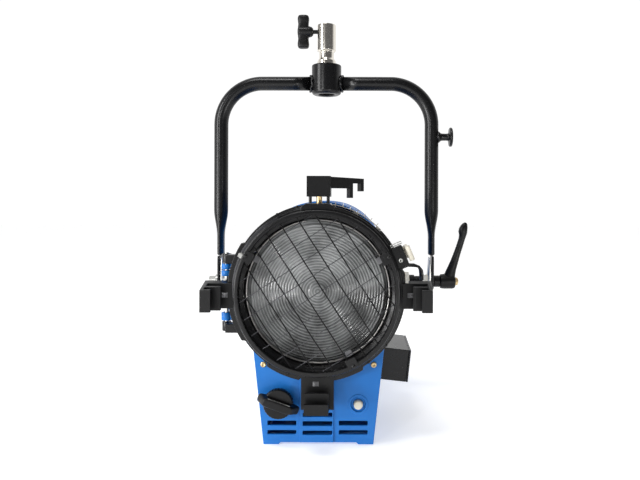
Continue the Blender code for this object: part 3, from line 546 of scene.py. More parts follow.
def rear_casting():
    slots = [slot_of(-0.045, 0.045, z, z + 0.006, 0.002) for z in (0.016, 0.028, 0.232, 0.246, 0.260)]
    turn = at(0, REAR_Y - 0.023, 0) @ spin(180) @ FRONT
    pieces = [(mesh, turn) for mesh in casting_meshes(ARCH_Z, slots)]
    for side in (-1, 1):
        for z in (0.050, 0.190):
            x = side * (half_width(z) - 0.010)
            dome = lathe([(0, 0.0250), (0.0024, 0.0246), (0.0036, 0.0232), (0.0036, 0.0220)], 32)
            pieces.append((dome, turn @ at(x, z, 0)))
    mesh = joined("rear_casting", pieces)
    add("rear_casting_shell", mesh, FLAT, "blue_paint", "head", 0, ("rear_casting",))
    ribs = [slot_of(-0.0008 + x, 0.0008 + x, 0.070, 0.210, 0.0007) for x in (-0.03, 0.0, 0.03)]
    for i, rib in enumerate(ribs):
        add(f"rear_rib_{i}", plate([rib], 0.0225, 0.0238, 0.0004), turn, "blue_paint", "head", 0)


def top_cover():
    outer = arch(ARCH_Z, 0)
    inner = arch(ARCH_Z, 0.002)
    seam = 0.150
    foot = (side_x(seam, 0), seam)
    heel = (side_x(seam, 0.002), seam)
    loop = [foot] + outer + [(-foot[0], seam), (-heel[0], seam)] + inner[::-1] + [heel]
    front = 0.138
    rear = -(REAR_Y - 0.0233)
    cover = plate([loop], rear, front, 0.0004)
    add("top_cover_sheet", cover, FRONT, "blue_paint", "head", 0, ("top_cover",))
    for i, y in enumerate((-0.085, 0.060)):
        band_loop = [arch(ARCH_Z, -0.0006)[6:-6] + arch(ARCH_Z, 0.0008)[6:-6][::-1]]
        add(f"cover_bead_{i}", plate(band_loop, -y - 0.003, -y + 0.003, 0.0006), FRONT, "blue_paint",
            "head", 0)


def vent_parts():
    outer = arch(ARCH_Z, 0.006)[4:-4]
    inner = arch(ARCH_Z, 0.0075)[4:-4]
    band = plate([outer + inner[::-1]], 0.1230, 0.1490, 0.0003)
    add("vent_shield", band, FRONT, "black_paint", "head", 0, ("vent_baffle",))
    turns = [math.radians(44 + i) for i in range(40)]
    rim = [(0.1052 * math.cos(t), 0.1052 * math.sin(t)) for t in turns]
    rim += [(0.1040 * math.cos(t), 0.1040 * math.sin(t)) for t in turns[::-1]]
    pieces = [(plate([rim], 0.1705, 0.1733, 0.0002), LENS_AXIS)]
    for i in range(7):
        tooth = block((0.1045, -0.0005, 0.1708), (0.1082, 0.0005, 0.1730))
        pieces.append((tooth, LENS_AXIS @ spin(48 + 5.2 * i)))
    for degrees in (46, 64, 82):
        tab = block((0.0850, -0.003, 0.1722), (0.1045, 0.003, 0.1732))
        pieces.append((tab, LENS_AXIS @ spin(degrees)))
    add("vent_spring", joined("vent_spring", pieces), FLAT, "nickel", "head", 0.0001, segments=1)


def guide_parts():
    rod = lathe([(0, 0.1772), (0.0042, 0.1772), (0.0055, 0.1758), (0.0055, -0.1225), (0, -0.1225)], 48)
    add("rod_bar", rod, at(ROD[0], 0, ROD[1]) @ FRONT, "ivory_plastic", "head", 0.0002, ("guide_rod",))
    for side, node in ((-1, "front_screw_left"), (1, "front_screw_right")):
        shape = lathe([(0, 0.1738), (0.0016, 0.1738), (0.0018, 0.1749), (0.0030, 0.1748),
                       (0.0036, 0.1738), (0.0036, 0.1730), (0, 0.1730)], 32)
        add(node + "_head", shape, at(side * 0.0672, 0, 0.0975) @ FRONT, "brass", "head", 0, (node,))


# Tilt pivot --------------------------------------------------------------------------------
def pivot_parts():
    for side in (-1, 1):
        end = "right" if side > 0 else "left"
        turn = FLAT if side > 0 else spin(180)
        frame = turn @ PIVOT_AXIS
        body = lathe([(0.0042, 0.0985), (0.0042, 0.1180), (0.0152, 0.1180), (0.0162, 0.1165), (0.0172,
            0.0970),
                      (0.0212, 0.0945), (0.0212, 0.0835), (0.0042, 0.0835)], 64, True)
        add(f"trunnion_{end}_turned", body, frame, "black_paint", "head", 0.0004, (f"trunnion_{end}",))
        disc = lathe([(0.0042, 0.1243), (0.0140, 0.1243), (0.0140, 0.1183), (0.0042, 0.1183)], 64, True)
        add(f"friction_disc_{end}_turned", disc, frame, "ivory_plastic", "head", 0.0005,
            (f"friction_disc_{end}",))
        sleeve = lathe([(0.0042, 0.1572), (0.0080, 0.1572), (0.0080, 0.1330), (0.0098, 0.1322), (0.0098,
            0.1250),
                        (0.0042, 0.1250)], 64, True)
        add(f"pivot_sleeve_{end}_turned", sleeve, frame, "black_paint", "yoke", 0.0003,
            (f"pivot_sleeve_{end}",))
        cone = lathe([(0.0081, 0.1572), (0.0108, 0.1572), (0.0100, 0.1500), (0.0088, 0.1450), (0.0081,
            0.1446)], 48, True)
        add(f"pivot_cone_{end}", cone, frame, "ivory_plastic", "yoke", 0.0002)
    end_cap = lathe([(0, 0.1990), (0.0028, 0.1990), (0.00375, 0.1980), (0.00375, 0.1000), (0, 0.1000)], 32)
    nut = lathe([(0.0030, 0.1978), (0.0058, 0.1978), (0.0064, 0.1970), (0.0064, 0.1943), (0.0030, 0.1943)],
        6, True)
    bolt = joined("pivot_bolt", [(end_cap, FLAT), (nut, FLAT)])
    add("pivot_bolt_right_turned", bolt, PIVOT_AXIS, "brass", "head", 0.0002, ("pivot_bolt_right",))
    spacer = lathe([(0.0042, 0.1712), (0.0080, 0.1712), (0.0086, 0.1700), (0.0086, 0.1625), (0.0078, 0.1615),
                    (0.0042, 0.1615)], 48, True)
    add("pivot_spacer_turned", spacer, PIVOT_AXIS, "black_plastic", "head", 0.0003, ("pivot_spacer",))
    washer = lathe([(0.0042, 0.1657), (0.0095, 0.1657), (0.0095, 0.1615), (0.0042, 0.1615)], 48, True)
    add("pivot_washer_turned", washer, spin(180) @ PIVOT_AXIS, "zinc", "head", 0.0004, ("pivot_washer",))


def tilt_lever():
    hub = lathe([(0.0042, 0.1940), (0.0085, 0.1940), (0.0105, 0.1925), (0.0110, 0.1900), (0.0112, 0.1780),
                 (0.0106, 0.1722), (0.0098, 0.1715), (0.0072, 0.1715), (0.0072, 0.1828), (0.0042, 0.1828)],
                 64, True)
    stations = []
    for x, z, wide, deep in (
        (0.1835, 0.1760, 0.0088, 0.0086), (0.1860, 0.1850, 0.0080, 0.0078), (0.1890, 0.1945, 0.0066, 0.0066),
        (0.1928, 0.2050, 0.0057, 0.0060), (0.1968, 0.2170, 0.0050, 0.0056), (0.2012, 0.2300, 0.0047, 0.0053),
        (0.2043, 0.2400, 0.0046, 0.0054), (0.2054, 0.2450, 0.0052, 0.0060), (0.2056, 0.2495, 0.0064, 0.0066),
        (0.2064, 0.2540, 0.0063, 0.0067), (0.2078, 0.2590, 0.0051, 0.0058), (0.2092, 0.2625, 0.0034, 0.0044),
        (0.2100, 0.2645, 0.0014, 0.0022),
    ):
        stations.append(((x, 0, z), (wide, 0, -0.25 * wide), (0, deep, 0)))
    arm = loft(stations, 32, 2.4)
    mesh = joined("lever", [(hub, PIVOT_AXIS), (arm, FLAT)])
    add("lever_grip", mesh, FLAT, "black_plastic", "tilt_lever_handle", 0.0003, ("lever_handle",))


# Yoke --------------------------------------------------------------------------------------
def yoke_stations():
    """Sections of the right tube: crossbar, bend, leg and pressed end."""
    stations = [((x, 0, YOKE_TOP_Z), (0, 0, TUBE_R), (0, TUBE_R, 0)) for x in (0.020, 0.050, 0.080)]
    middle = Vector((YOKE_X - YOKE_BEND, 0, YOKE_TOP_Z - YOKE_BEND))
    for i in range(1, 29):
        turn = math.pi / 2 * (1 - i / 28)
        out = Vector((math.cos(turn), 0, math.sin(turn)))
        stations.append((middle + out * YOKE_BEND, out * TUBE_R, (0, TUBE_R, 0)))
    z = 0.39
    while z > 0.2185:
        along = min(1.0, max(0.0, (0.283 - z) / 0.040))
        amount = along * along * (3 - 2 * along)
        thin = TUBE_R + (0.0050 - TUBE_R) * amount
        stations.append(((YOKE_X, 0, z), (thin, 0, 0), (0, TUBE_R * (1 + 0.24 * amount), 0)))
        z -= 0.004
    for z, size in ((0.2175, 1.0), (0.2162, 0.9), (0.2154, 0.65)):
        stations.append(((YOKE_X, 0, z), (0.0050 * size, 0, 0), (0, TUBE_R * 1.24 * (0.75 + 0.25 * size), 0)))
    return stations


def weld_bead(side):
    """The uneven ring of weld where the tube meets the collar."""
    points = []
    for i in range(60):
        turn = 2 * math.pi * i / 60
        wander = 0.0006 * math.sin(7 * turn + side) + 0.0004 * math.sin(13 * turn)
        radius = 0.0112 + wander * 0.5
        x = side * (math.sqrt(0.0222 ** 2 - min(0.0104, abs(radius * math.sin(turn))) ** 2) + 0.0012 + wander)
        points.append((x, radius * math.sin(turn), YOKE_TOP_Z + radius * math.cos(turn)))
    points.append(points[0])
    return points


def yoke_parts():
    for side in (-1, 1):
        end = "right" if side > 0 else "left"
        turn = FLAT if side > 0 else spin(180)
        leg = loft(yoke_stations(), 48)
        add(f"yoke_tube_{end}_bent", leg, turn, "black_paint", "yoke", 0, (f"yoke_tube_{end}",))
        half = 0.013
        outline = [(half * math.cos(t), PIVOT_Z + half * math.sin(t))
                   for t in [math.pi + math.pi * i / 32 for i in range(33)]]
        outline += [(half, 0.2070), (0.0115, 0.2140), (-0.0115, 0.2140), (-half, 0.2070)]
        strap = plate([outline, ring_of(0.0042, 32, (0, PIVOT_Z))], 0.1580, 0.1610, 0.0004)
        add(f"yoke_strap_{end}_cut", strap, turn @ SIDE, "black_paint", "yoke", 0, (f"yoke_strap_{end}",))
        add(f"weld_{end}", wire([weld_bead(side)], 0.0019, 3), FLAT, "black_paint", "yoke", 0)
        liner = loft([((0.1572, 0, z), (0.0006 + 0.0030 * t, 0, 0), (0, 0.0108, 0)) for z, t in
                      ((0.2120, 0.0), (0.2000, 0.35), (0.1900, 0.7), (0.1800, 1.0), (0.1690, 1.0))], 24, 4.0)
        add(f"strap_liner_{end}", liner, turn @ at(-0.0020, 0, 0), "zinc", "yoke", 0.0002)
    collar = lathe([(0.0143, 0.5005), (0.0205, 0.5005), (0.0218, 0.4998), (0.0222, 0.4985), (0.0222, 0.4615),
                    (0.0219, 0.4592), (0.0208, 0.4572), (0.0188, 0.4560), (0.0132, 0.4560), (0.0120, 0.4575),
                    (0.0120, 0.4700), (0.0143, 0.4700)], 128, True)
    add("collar_turned", collar, FLAT, "black_paint", "yoke", 0.0003, ("yoke_collar",))
    stud = lathe([(0, 0.5225), (0.0081, 0.5225), (0.0081, 0.5605), (0.0087, 0.5610), (0.0131, 0.5610),
                  (0.0137, 0.5607), (0.0140, 0.5600), (0.0140, 0.5225), (0.0136, 0.5215), (0.0114, 0.5205),
                  (0.0112, 0.5195), (0.0112, 0.5110), (0.0116, 0.5098), (0.0134, 0.5075), (0.0140, 0.5060),
                  (0.0140, 0.4780), (0, 0.4780)], 128)
    add("spigot_turned", stud, FLAT, "nickel", "yoke", 0, ("spigot",))
    post = lathe([(0, 0.1890), (0.0134, 0.1890), (0.0143, 0.1883), (0.0145, 0.1872), (0.0143, 0.1856),
                  (0.0132, 0.1848), (0.0070, 0.1843), (0.0056, 0.1830), (0.0053, 0.1800), (0.0055, 0.1735),
                  (0.0064, 0.1715), (0.0086, 0.1695), (0.0086, 0.1660), (0, 0.1660)], 64)
    add("safety_post_turned", post, at(0, 0, 0.3930) @ SIDE, "black_paint", "yoke", 0, ("safety_post",))
    hexagon = lathe([(0, 0.4740), (0.0045, 0.4740), (0.0045, 0.4700)], 6)
    screw = lathe([(0.0048, 0.4697), (0.0090, 0.4697), (0.0095, 0.4704), (0.0095, 0.4777), (0, 0.4777)], 48)
    mesh = joined("spigot_bolt", [(hexagon, FLAT), (screw, FLAT)])
    add("spigot_bolt_head", mesh, FLAT, "zinc", "yoke", 0, ("spigot_bolt",))


def wing_screw():
    way = at(0, 0, 0.551) @ SIDE
    stem = lathe([(0, -0.0092), (0.0026, -0.0092), (0.0030, -0.0098), (0.0030, -0.0200), (0.0050, -0.0204),
                  (0.0072, -0.0225), (0.0082, -0.0260), (0.0084, -0.0400), (0.0074, -0.0424), (0.0045,
                  -0.0436),
                  (0, -0.0438)], 48)
    lobes = []
    for z, wide, deep in (
        (-0.0249, 0.0030, 0.0030), (-0.0246, 0.0056, 0.0048), (-0.0238, 0.0070, 0.0062), (-0.0215, 0.0080,
        0.0072),
        (-0.0185, 0.0082, 0.0074), (-0.0150, 0.0078, 0.0068), (-0.0110, 0.0074, 0.0060), (-0.0050, 0.0080,
        0.0064),
        (0.0, 0.0083, 0.0070), (0.0050, 0.0080, 0.0064), (0.0110, 0.0074, 0.0060), (0.0150, 0.0078, 0.0068),
        (0.0185, 0.0082, 0.0074), (0.0215, 0.0080, 0.0072), (0.0238, 0.0070, 0.0062), (0.0246, 0.0056,
        0.0048),
        (0.0249, 0.0030, 0.0030),
    ):
        lobes.append(((-0.0350, 0, 0.551 + z), (wide * 1.06, 0, 0), (0, deep, 0)))
    mesh = joined("wing", [(stem, way), (loft(lobes, 32, 3.2), FLAT)])
    add("wing_screw_moulded", mesh, FLAT, "black_plastic", "clamp_screw", 0, ("wing_screw",))


# Focus drive -------------------------------------------------------------------------------
def focus_parts():
    way = at(KNOB[0], 0, KNOB[1]) @ FRONT
    skirt = []
    for height, radius, ripple in (
        (0.1748, 0.0118, 0.0), (0.1772, 0.0120, 0.0), (0.1795, 0.0142, 0.0001), (0.1818, 0.0176, 0.0004),
        (0.1828, 0.0183, 0.0005), (0.1870, 0.0183, 0.0005), (0.1886, 0.0175, 0.0003), (0.1895, 0.0161, 0.0),
    ):
        skirt.append((height, radius, ripple))
    verts = []
    steps = 180
    for height, radius, ripple in skirt:
        for i in range(steps):
            turn = 2 * math.pi * i / steps
            r = radius - ripple * (1 + math.cos(30 * turn)) / 2
            verts.append((r * math.cos(turn), r * math.sin(turn), height))
    faces = [(k * steps + i, k * steps + (i + 1) % steps, (k + 1) * steps + (i + 1) % steps,
        (k + 1) * steps + i)
             for k in range(len(skirt) - 1) for i in range(steps)]
    faces += [tuple(range(steps))[::-1], tuple(range(len(verts) - steps, len(verts)))]
    dial = from_data("dial", verts, faces)
    ridge = []
    for height, long, thick in (
        (0.1855, 0.0260, 0.0064), (0.1868, 0.0256, 0.0064), (0.1885, 0.0239, 0.0061), (0.1935, 0.0207,
        0.0056),
        (0.1960, 0.0190, 0.0052), (0.1972, 0.0178, 0.0043), (0.1975, 0.0168, 0.0030),
    ):
        ridge.append(((0, 0, height), (long, 0, 0), (0, thick, 0)))
    grip = loft(ridge, 64, 4.5)
    mesh = joined("knob", [(dial, way), (grip, way @ spin(KNOB_TURN))])
    add("focus_knob_moulded", mesh, FLAT, "black_plastic", "focus_drive", 0, ("focus_knob",))
    line = plate([slot_of(-0.0135, 0.0140, 0.0048, 0.0054, 0.0002)], 0.1935, 0.1960, 0.0001)
    add("knob_pointer", line, way @ spin(KNOB_TURN), "zinc", "focus_drive", 0)


def lamp_parts():
    way = at(0, LAMP_Y, 0)
    bulb = lathe([(0, 0.2220), (0.0022, 0.2217), (0.0042, 0.2203), (0.0064, 0.2180), (0.0090, 0.2140),
                  (0.0108, 0.2100), (0.0115, 0.2060), (0.0115, 0.1740), (0.0108, 0.1700), (0.0088, 0.1668),
                  (0.0085, 0.1640), (0.0085, 0.1603), (0, 0.1603)], 48)
    add("lamp_envelope", bulb, way, "lamp_glass", "carriage", 0, ("halogen_lamp",))
    last = 90
    coil = [(0.0022 * math.cos(i), 0.0022 * math.sin(i), 0.1820 + 0.0140 * i / last) for i in range(last + 1)]
    leads = [[(0.0022, 0, 0.1820), (0.0040, 0, 0.1640)],
             [coil[last], (-0.0042, 0, 0.1990), (-0.0042, 0, 0.1640)]]
    add("lamp_filament", wire([coil] + leads, 0.0004, 1), way, "steel", "carriage", 0)
    base = [(block((-0.016, -0.0118, 0.1353), (0.016, 0.0118, 0.1560)), way),
            (block((-0.0125, -0.0095, 0.1550), (0.0125, 0.0095, 0.1600)), way)]
    add("lamp_socket_body", joined("socket", base), FLAT, "ceramic", "carriage", 0.0012, ("lamp_socket",))
    turns = [math.radians(70 * i / 24) for i in range(25)]
    inner = [(0.0550 * math.sin(t), -0.0550 * math.cos(t)) for t in turns]
    outer = [(0.0565 * math.sin(t), -0.0565 * math.cos(t)) for t in turns]
    bowl = lathe(inner + outer[::-1], 96)
    add("reflector_bowl", bowl, at(0, LAMP_Y, LENS_Z) @ FRONT, "mirror", "carriage", 0, ("reflector",))


# Lens door ---------------------------------------------------------------------------------
def door_radius(degrees):
    """The flange's rim: round with three raised stretches and one flat one, with short ramps between."""
    radius = 0.1047
    for low, high, size in ((148, 213, 0.1080), (236, 258, 0.1080), (280, 300, 0.1080), (45, 78, 0.1020)):
        inside = min(degrees - low, high - degrees)
        share = min(1.0, max(0.0, (inside + 1.2) / 1.2))
        if share > 0:
            radius += (size - 0.1047) * share
    return radius


def door_ring():
    rim = [(door_radius(i / 2) * math.cos(math.radians(i / 2)),
        door_radius(i / 2) * math.sin(math.radians(i / 2)))
           for i in range(720)]
    flange = plate([rim, ring_of(0.0890, 160)], 0.1737, 0.1900, 0.0007)
    bezel = lathe([
        (0.0921, 0.2088), (0.0926, 0.2090), (0.0955, 0.2090), (0.0968, 0.2086), (0.0974, 0.2076), (0.0976,
        0.1990),
        (0.0984, 0.1984), (0.1000, 0.1981), (0.1004, 0.1975), (0.1005, 0.1930), (0.1012, 0.1924), (0.1022,
        0.1922),
        (0.1026, 0.1915), (0.1026, 0.1860), (0.0940, 0.1780), (0.0830, 0.1780), (0.0830, 0.1815), (0.0870,
        0.1815),
        (0.0870, 0.1900), (0.0878, 0.1908), (0.0878, 0.1975), (0.0885, 0.1984), (0.0916, 0.2000), (0.0920,
        0.2008),
    ], 192, True)
    pieces = [(flange, LENS_AXIS), (bezel, LENS_AXIS)]
    boss = [(-0.0200, 0.2830), (0.0200, 0.2830), (0.0200, 0.2893), (0.0140, 0.2940), (-0.0140, 0.2940),
            (-0.0200, 0.2893)]
    pieces.append((plate([boss], 0.1510, 0.2003, 0.0008), FRONT))
    for low, high in ((0.221, 0.232), (0.138, 0.149)):
        eye = lathe([(0.0029, high), (0.0055, high), (0.0055, low), (0.0029, low)], 48, True)
        pieces.append((eye, at(*HINGE, 0)))
        bar = plate([slot_of(HINGE[0] + 0.0015, -0.092, low + 0.0002, high - 0.0002, 0.001)], 0.1700,
            0.1850, 0.0006)
        pieces.append((bar, FRONT))
    mesh = joined("door_ring", pieces)
    add("door_ring_cast", mesh, FLAT, "black_paint", "lens_door", 0, ("door_ring",))
    beads = []
    for degrees in (104, 118, 236, 250, 268, 306, 322):
        dome = lathe([(0, 0.1917), (0.0012, 0.1913), (0.0019, 0.1903), (0.0019, 0.1895)], 24)
        beads.append((dome, LENS_AXIS @ spin(degrees) @ at(0.1036 if degrees < 300 else 0.1034, 0, 0)))
    add("flange_rivets", joined("rivets", beads), FLAT, "black_paint", "lens_door", 0)


def clip_strip():
    """The long flat spring that holds the guard at the upper left, with its eyelet."""
    path = []
    for i in range(25):
        degrees = 116 + 70 * i / 24
        lift = 0.0016 * math.sin(math.pi * i / 24)
        radius = 0.0986 + 0.0010 * math.sin(math.pi * i / 24)
        turn = math.radians(degrees)
        centre = Vector((radius * math.cos(turn), radius * math.sin(turn), 0.1990 + lift))
        out = Vector((math.cos(turn), math.sin(turn), 0))
        path.append((centre, out * (0.0019 if i < 14 else 0.0010), (0, 0, 0.00045)))
    add("clip_spring", loft(path, 20, 6.0), LENS_AXIS, "dark_spring", "lens_door", 0)
    eyelet = lathe([(0.0016, 0.2032), (0.0030, 0.2030), (0.0036, 0.2018), (0.0036, 0.1985), (0.0016,
        0.1985)], 32, True)
    place = LENS_AXIS @ spin(154) @ at(0.0992, 0, 0)
    add("clip_eyelet", eyelet, place, "zinc", "lens_door", 0.0002)
    tail = block((0.0905, -0.0022, 0.2022), (0.0985, 0.0022, 0.2030))
    add("clip_tail", tail, place @ at(-0.0992, 0, 0) @ at(0.004, 0, 0.0003), "zinc", "lens_door", 0.0003)


def lens_clips():
    for number, degrees in enumerate(CLIP_TURNS, 1):
        radial = LENS_AXIS @ spin(degrees)
        tab = plate([slot_of(0.0842, 0.0960, -0.0065, 0.0065, 0.0015)], 0.2093, 0.2107, 0.0003)
        head = lathe([(0, 0.2120), (0.0016, 0.2118), (0.0026, 0.2110), (0.0026, 0.2100), (0, 0.2100)], 32)
        mesh = joined("clip", [(tab, radial), (head, radial @ at(0.0938, 0, 0))])
        add(f"lens_clip_{number}_sheet", mesh, FLAT, "black_paint", "lens_door", 0, (f"lens_clip_{number}",))
        foot = plate([slot_of(0.0785, 0.0850, -0.0040, 0.0040, 0.0008)], 0.1925, 0.1935, 0.0002)
        add(f"lens_pad_{number}", foot, radial, "nub_plastic", "lens_door", 0)


def lens_parts():
    """The stepped lens: a flat rim, sawtooth rings and a domed middle."""
    profile = [(LENS_CORE * i / 6, 0.1912 - 0.0007 * (i / 6) ** 2) for i in range(7)]
    for i in range(LENS_STEPS):
        near = LENS_CORE + (LENS_REACH - LENS_CORE) * i / LENS_STEPS
        far = LENS_CORE + (LENS_REACH - LENS_CORE) * (i + 1) / LENS_STEPS
        lean = 0.0006 + 0.0016 * (i + 1) / LENS_STEPS
        profile.append((near + 0.0004, 0.1888 + lean))
        profile.append(((near + far) / 2, 0.1888 + lean * 0.62))
        profile.append((far - 0.0001, 0.1888))
    profile += [(0.0815, 0.1868), (0.0864, 0.1868), (0.0864, 0.1820), (0.0800, 0.1820), (0.0790, 0.1838),
        (0, 0.1838)]
    add("lens_stepped", lathe(profile, 256), LENS_AXIS, "lens_glass", "lens_door", 0, ("fresnel_lens",))
    loop = []
    for i in range(121):
        turn = math.radians(100 + 348 * i / 120)
        loop.append((0.0853 * math.cos(turn), 0.0853 * math.sin(turn), 0.1886))
    add("lens_snap_ring", wire([loop], 0.0012, 4), LENS_AXIS, "ring_nickel", "lens_door", 0, ("lens_ring",))


def guard_paths(turn_degrees, offset, count, pitch, lift):
    paths = []
    for k in range(-count, count + 1):
        across = k * pitch + offset
        if abs(across) > 0.0895:
            continue
        half = math.sqrt(GUARD_R ** 2 - across ** 2)
        path = []
        for i in range(25):
            along = half * (2 * i / 24 - 1)
            dome = 0.0030 * (1 - (along ** 2 + across ** 2) / GUARD_R ** 2)
            wave = lift * math.cos(math.pi * along / pitch + math.pi * k)
            path.append((along, across, 0.2052 + dome + wave))
        paths.append(path)
    frame = spin(turn_degrees)
    return [[tuple(frame @ Vector(p)) for p in path] for path in paths]


def wire_guard():
    steep = guard_paths(GUARD_TURN + 90, GUARD_SHIFT, GUARD_WIRES, GUARD_PITCH, 0.0005)
    add("wire_mesh", wire(steep, 0.00080, 2), LENS_AXIS, "black_wire", "lens_door", 0, ("wire_guard",))
    flat = guard_paths(GUARD_TURN, 0.0, GUARD_WIRES, GUARD_PITCH, -0.0005)
    add("wire_mesh_cross", wire(flat, 0.00050, 2), LENS_AXIS, "dark_spring", "lens_door", 0)


def bracket_nubs():
    """The small pyramids on the floor of each accessory bracket."""
    tip = [(0.0, 0.0, 0.0032)]
    base = [(-0.0038, -0.0030, 0), (0.0038, -0.0030, 0), (0.0038, 0.0030, 0), (-0.0038, 0.0030, 0)]
    faces = [(0, 1, 4), (1, 2, 4), (2, 3, 4), (3, 0, 4), (3, 2, 1, 0)]
    for name, frame in (
        ("left", at(-0.1100, -0.1935, 0.1850) @ FRONT),
        ("right", at(0.1100, -0.1935, 0.1850) @ FRONT),
        ("bottom", at(-0.002, -0.1935, 0.0800) @ FRONT),
    ):
        add(f"bracket_nub_{name}", from_data("nub", base + tip, faces), frame, "nub_plastic", "lens_door",
            0.0003)


def hinge_parts():
    pin = lathe([(0, 0.2335), (0.0020, 0.2335), (0.0025, 0.2329), (0.0025, 0.1371), (0.0020, 0.1365), (0,
        0.1365)], 32)
    add("hinge_pin_turned", pin, at(*HINGE, 0), "zinc", "head", 0, ("hinge_pin",))


# Top latch ---------------------------------------------------------------------------------
def latch_parts():
    way = at(0, LATCH_Y, 0)
    post = lathe([(0, 0.3200), (0.0030, 0.3200), (0.0036, 0.3193), (0.0036, 0.2868), (0, 0.2868)], 32)
    add("latch_post_turned", post, way, "brass", "top_latch_post", 0, ("latch_post",))


# Door catch --------------------------------------------------------------------------------
def catch_parts():
    radial = LENS_AXIS @ spin(23)
    body = [(block((0.0992, -0.013, 0.1903), (0.1130, 0.013, 0.1972)), radial),
            (block((0.0998, -0.0135, 0.1905), (0.1126, -0.0118, 0.1990)), radial),
            (block((0.0998, 0.0118, 0.1905), (0.1126, 0.0135, 0.1990)), radial)]
    add("catch_block_cast", joined("catch", body), FLAT, "black_paint", "lens_door", 0.0008, ("catch_block",))
    for i, across in enumerate((0.0148, 0.0172)):
        fin = block((0.1000, across - 0.0005, 0.1908), (0.1145, across + 0.0005, 0.1975))
        add(f"catch_fin_{i}", fin, radial, "zinc", "lens_door", 0.0002)
    screw = lathe([(0.0010, 0.1984), (0.0022, 0.1986), (0.0028, 0.1978), (0.0028, 0.1968), (0.0010,
        0.1968)], 32, True)
    add("catch_screw", screw, radial @ at(0.1050, -0.0035, 0), "zinc", "lens_door", 0.0002)
    path = []
    for x, z, thick in ((0.0920, 0.2160, 0.0022), (0.1080, 0.2166, 0.0022), (0.1180, 0.2164, 0.0022),
                        (0.1240, 0.2146, 0.0024), (0.1268, 0.2105, 0.0026), (0.1275, 0.2050, 0.0026),
                        (0.1275, 0.1985, 0.0026)):
        lean = 0.0 if x < 0.12 else min(1.0, (x - 0.12) / 0.007)
        path.append(((x, -0.150, z), (thick * lean, 0, thick * (1 - lean)), (0, 0.0060, 0)))
    add("keeper_hook", loft(path, 24, 4.0), FLAT, "black_paint", "head", 0)
    roller = lathe([(0, 0.0092), (0.0026, 0.0092), (0.0032, 0.0086), (0.0032, -0.0086), (0.0026, -0.0092),
                    (0, -0.0092)], 32)
    tongue = block((0.1160, -0.0088, 0.1610), (0.1203, 0.0088, 0.1890))
    hook = block((0.1130, -0.0078, 0.1625), (0.1170, 0.0078, 0.1655))
    lever = joined("catch_lever", [(roller, radial @ at(0.1183, 0, 0.1935) @ spin(90, "X")), (tongue, radial),
                                   (hook, radial)])
    add("catch_lever_moulded", lever, FLAT, "ivory_plastic", "door_catch", 0.0006, ("catch_lever",))


def carry_over():
    """Gives each CAD node that stays the finish of its slot, and softened edges."""
    for row in frame["record"]["subparts"]:
        if row["node"] in REPLACED:
            continue
        node = NODES[row["node"]]
        node.data.materials.clear()
        node.data.materials.append(LOOKS[row["material_slot"]])
        weld = node.modifiers.new("weld", "WELD")
        weld.merge_threshold = 0.00002
        edge = node.modifiers.new("edge", "BEVEL")
        edge.width = 0.0006
        edge.segments = 3
        edge.limit_method = "ANGLE"
        edge.angle_limit = math.radians(40)


# Stage -------------------------------------------------------------------------------------
def make_camera():
    data = bpy.data.cameras.new("camera")
    data.lens = CAMERA_LENS
    data.sensor_width = CAMERA_SENSOR
    data.shift_x, data.shift_y = CAMERA_SHIFT
    data.clip_start = 0.01
    camera = bpy.data.objects.new("camera", data)
    camera.location = CAMERA_AT
    camera.rotation_euler = (math.radians(90), math.radians(CAMERA_ROLL), 0)
    bpy.context.scene.collection.objects.link(camera)
    bpy.context.scene.camera = camera


def plain(name, colour, rough):
    made = bpy.data.materials.new(name)
    made.use_nodes = True
    shader = made.node_tree.nodes["Principled BSDF"]
    shader.inputs["Base Color"].default_value = (*colour, 1.0)
    shader.inputs["Roughness"].default_value = rough
    return made


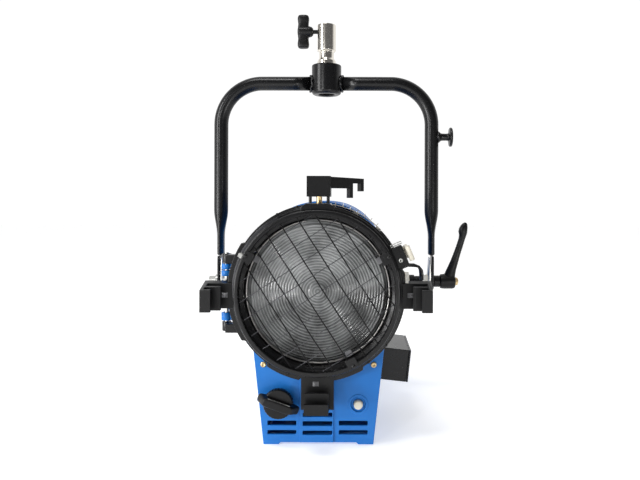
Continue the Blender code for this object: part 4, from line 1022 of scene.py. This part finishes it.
def make_floor():
    bm = bmesh.new()
    bmesh.ops.create_grid(bm, x_segments=1, y_segments=1, size=6.0)
    mesh = bpy.data.meshes.new("floor")
    bm.to_mesh(mesh)
    bm.free()
    floor = bpy.data.objects.new("floor", mesh)
    look = plain("floor", (0.90, 0.90, 0.90), 0.9)
    shader = look.node_tree.nodes["Principled BSDF"]
    shader.inputs["Emission Color"].default_value = (1.0, 1.0, 1.0, 1.0)
    shader.inputs["Emission Strength"].default_value = 0.45
    mesh.materials.append(look)
    bpy.context.scene.collection.objects.link(floor)


def softbox(name, place, aim, size, power):
    data = bpy.data.lights.new(name, "AREA")
    data.shape = "RECTANGLE"
    data.size, data.size_y = size
    data.energy = power
    lamp = bpy.data.objects.new(name, data)
    lamp.location = place
    lamp.rotation_euler = (Vector(aim) - Vector(place)).to_track_quat("-Z", "Y").to_euler()
    bpy.context.scene.collection.objects.link(lamp)


def make_light():
    world = bpy.data.worlds.new("studio")
    bpy.context.scene.world = world
    world.use_nodes = True
    tree = world.node_tree
    sky = tree.nodes["Background"]
    where = tree.nodes.new("ShaderNodeTexCoord")
    split = tree.nodes.new("ShaderNodeSeparateXYZ")
    tree.links.new(where.outputs["Generated"], split.inputs["Vector"])
    stops = ((0.40, (0.13, 0.13, 0.135)), (0.62, (1.05, 1.05, 1.05)))
    share = tree.nodes.new("ShaderNodeMapRange")
    share.inputs["From Min"].default_value = -1.0
    tree.links.new(split.outputs["Y"], share.inputs["Value"])
    tree.links.new(ramp(tree, share.outputs["Result"], stops), sky.inputs["Color"])
    sky.inputs["Strength"].default_value = 1.0
    softbox("key", (-1.5, -0.9, 0.7), (0, 0, 0.25), (0.35, 1.2), 20)
    softbox("top", (-0.3, -0.7, 1.9), (0, 0, 0.25), (0.8, 0.4), 12)
    softbox("low", (-1.15, -1.15, 0.12), (0, -0.17, 0.04), (0.5, 0.22), 8)
    softbox("glint", (-0.90, -1.75, 0.68), (0, -0.19, 0.19), (0.10, 0.10), 5.0)
    softbox("spark", (0.80, -1.60, 0.06), (0, -0.19, 0.19), (0.10, 0.06), 3.5)
    bpy.context.scene.view_settings.view_transform = "Standard"


make_camera()
for build in (
    front_casting, rear_casting, top_cover, vent_parts, guide_parts, pivot_parts, tilt_lever, yoke_parts,
    wing_screw, focus_parts, lamp_parts, door_ring, clip_strip, lens_clips, lens_parts, wire_guard,
    bracket_nubs, hinge_parts, latch_parts, catch_parts, carry_over,
):
    build()
make_floor()
make_light()
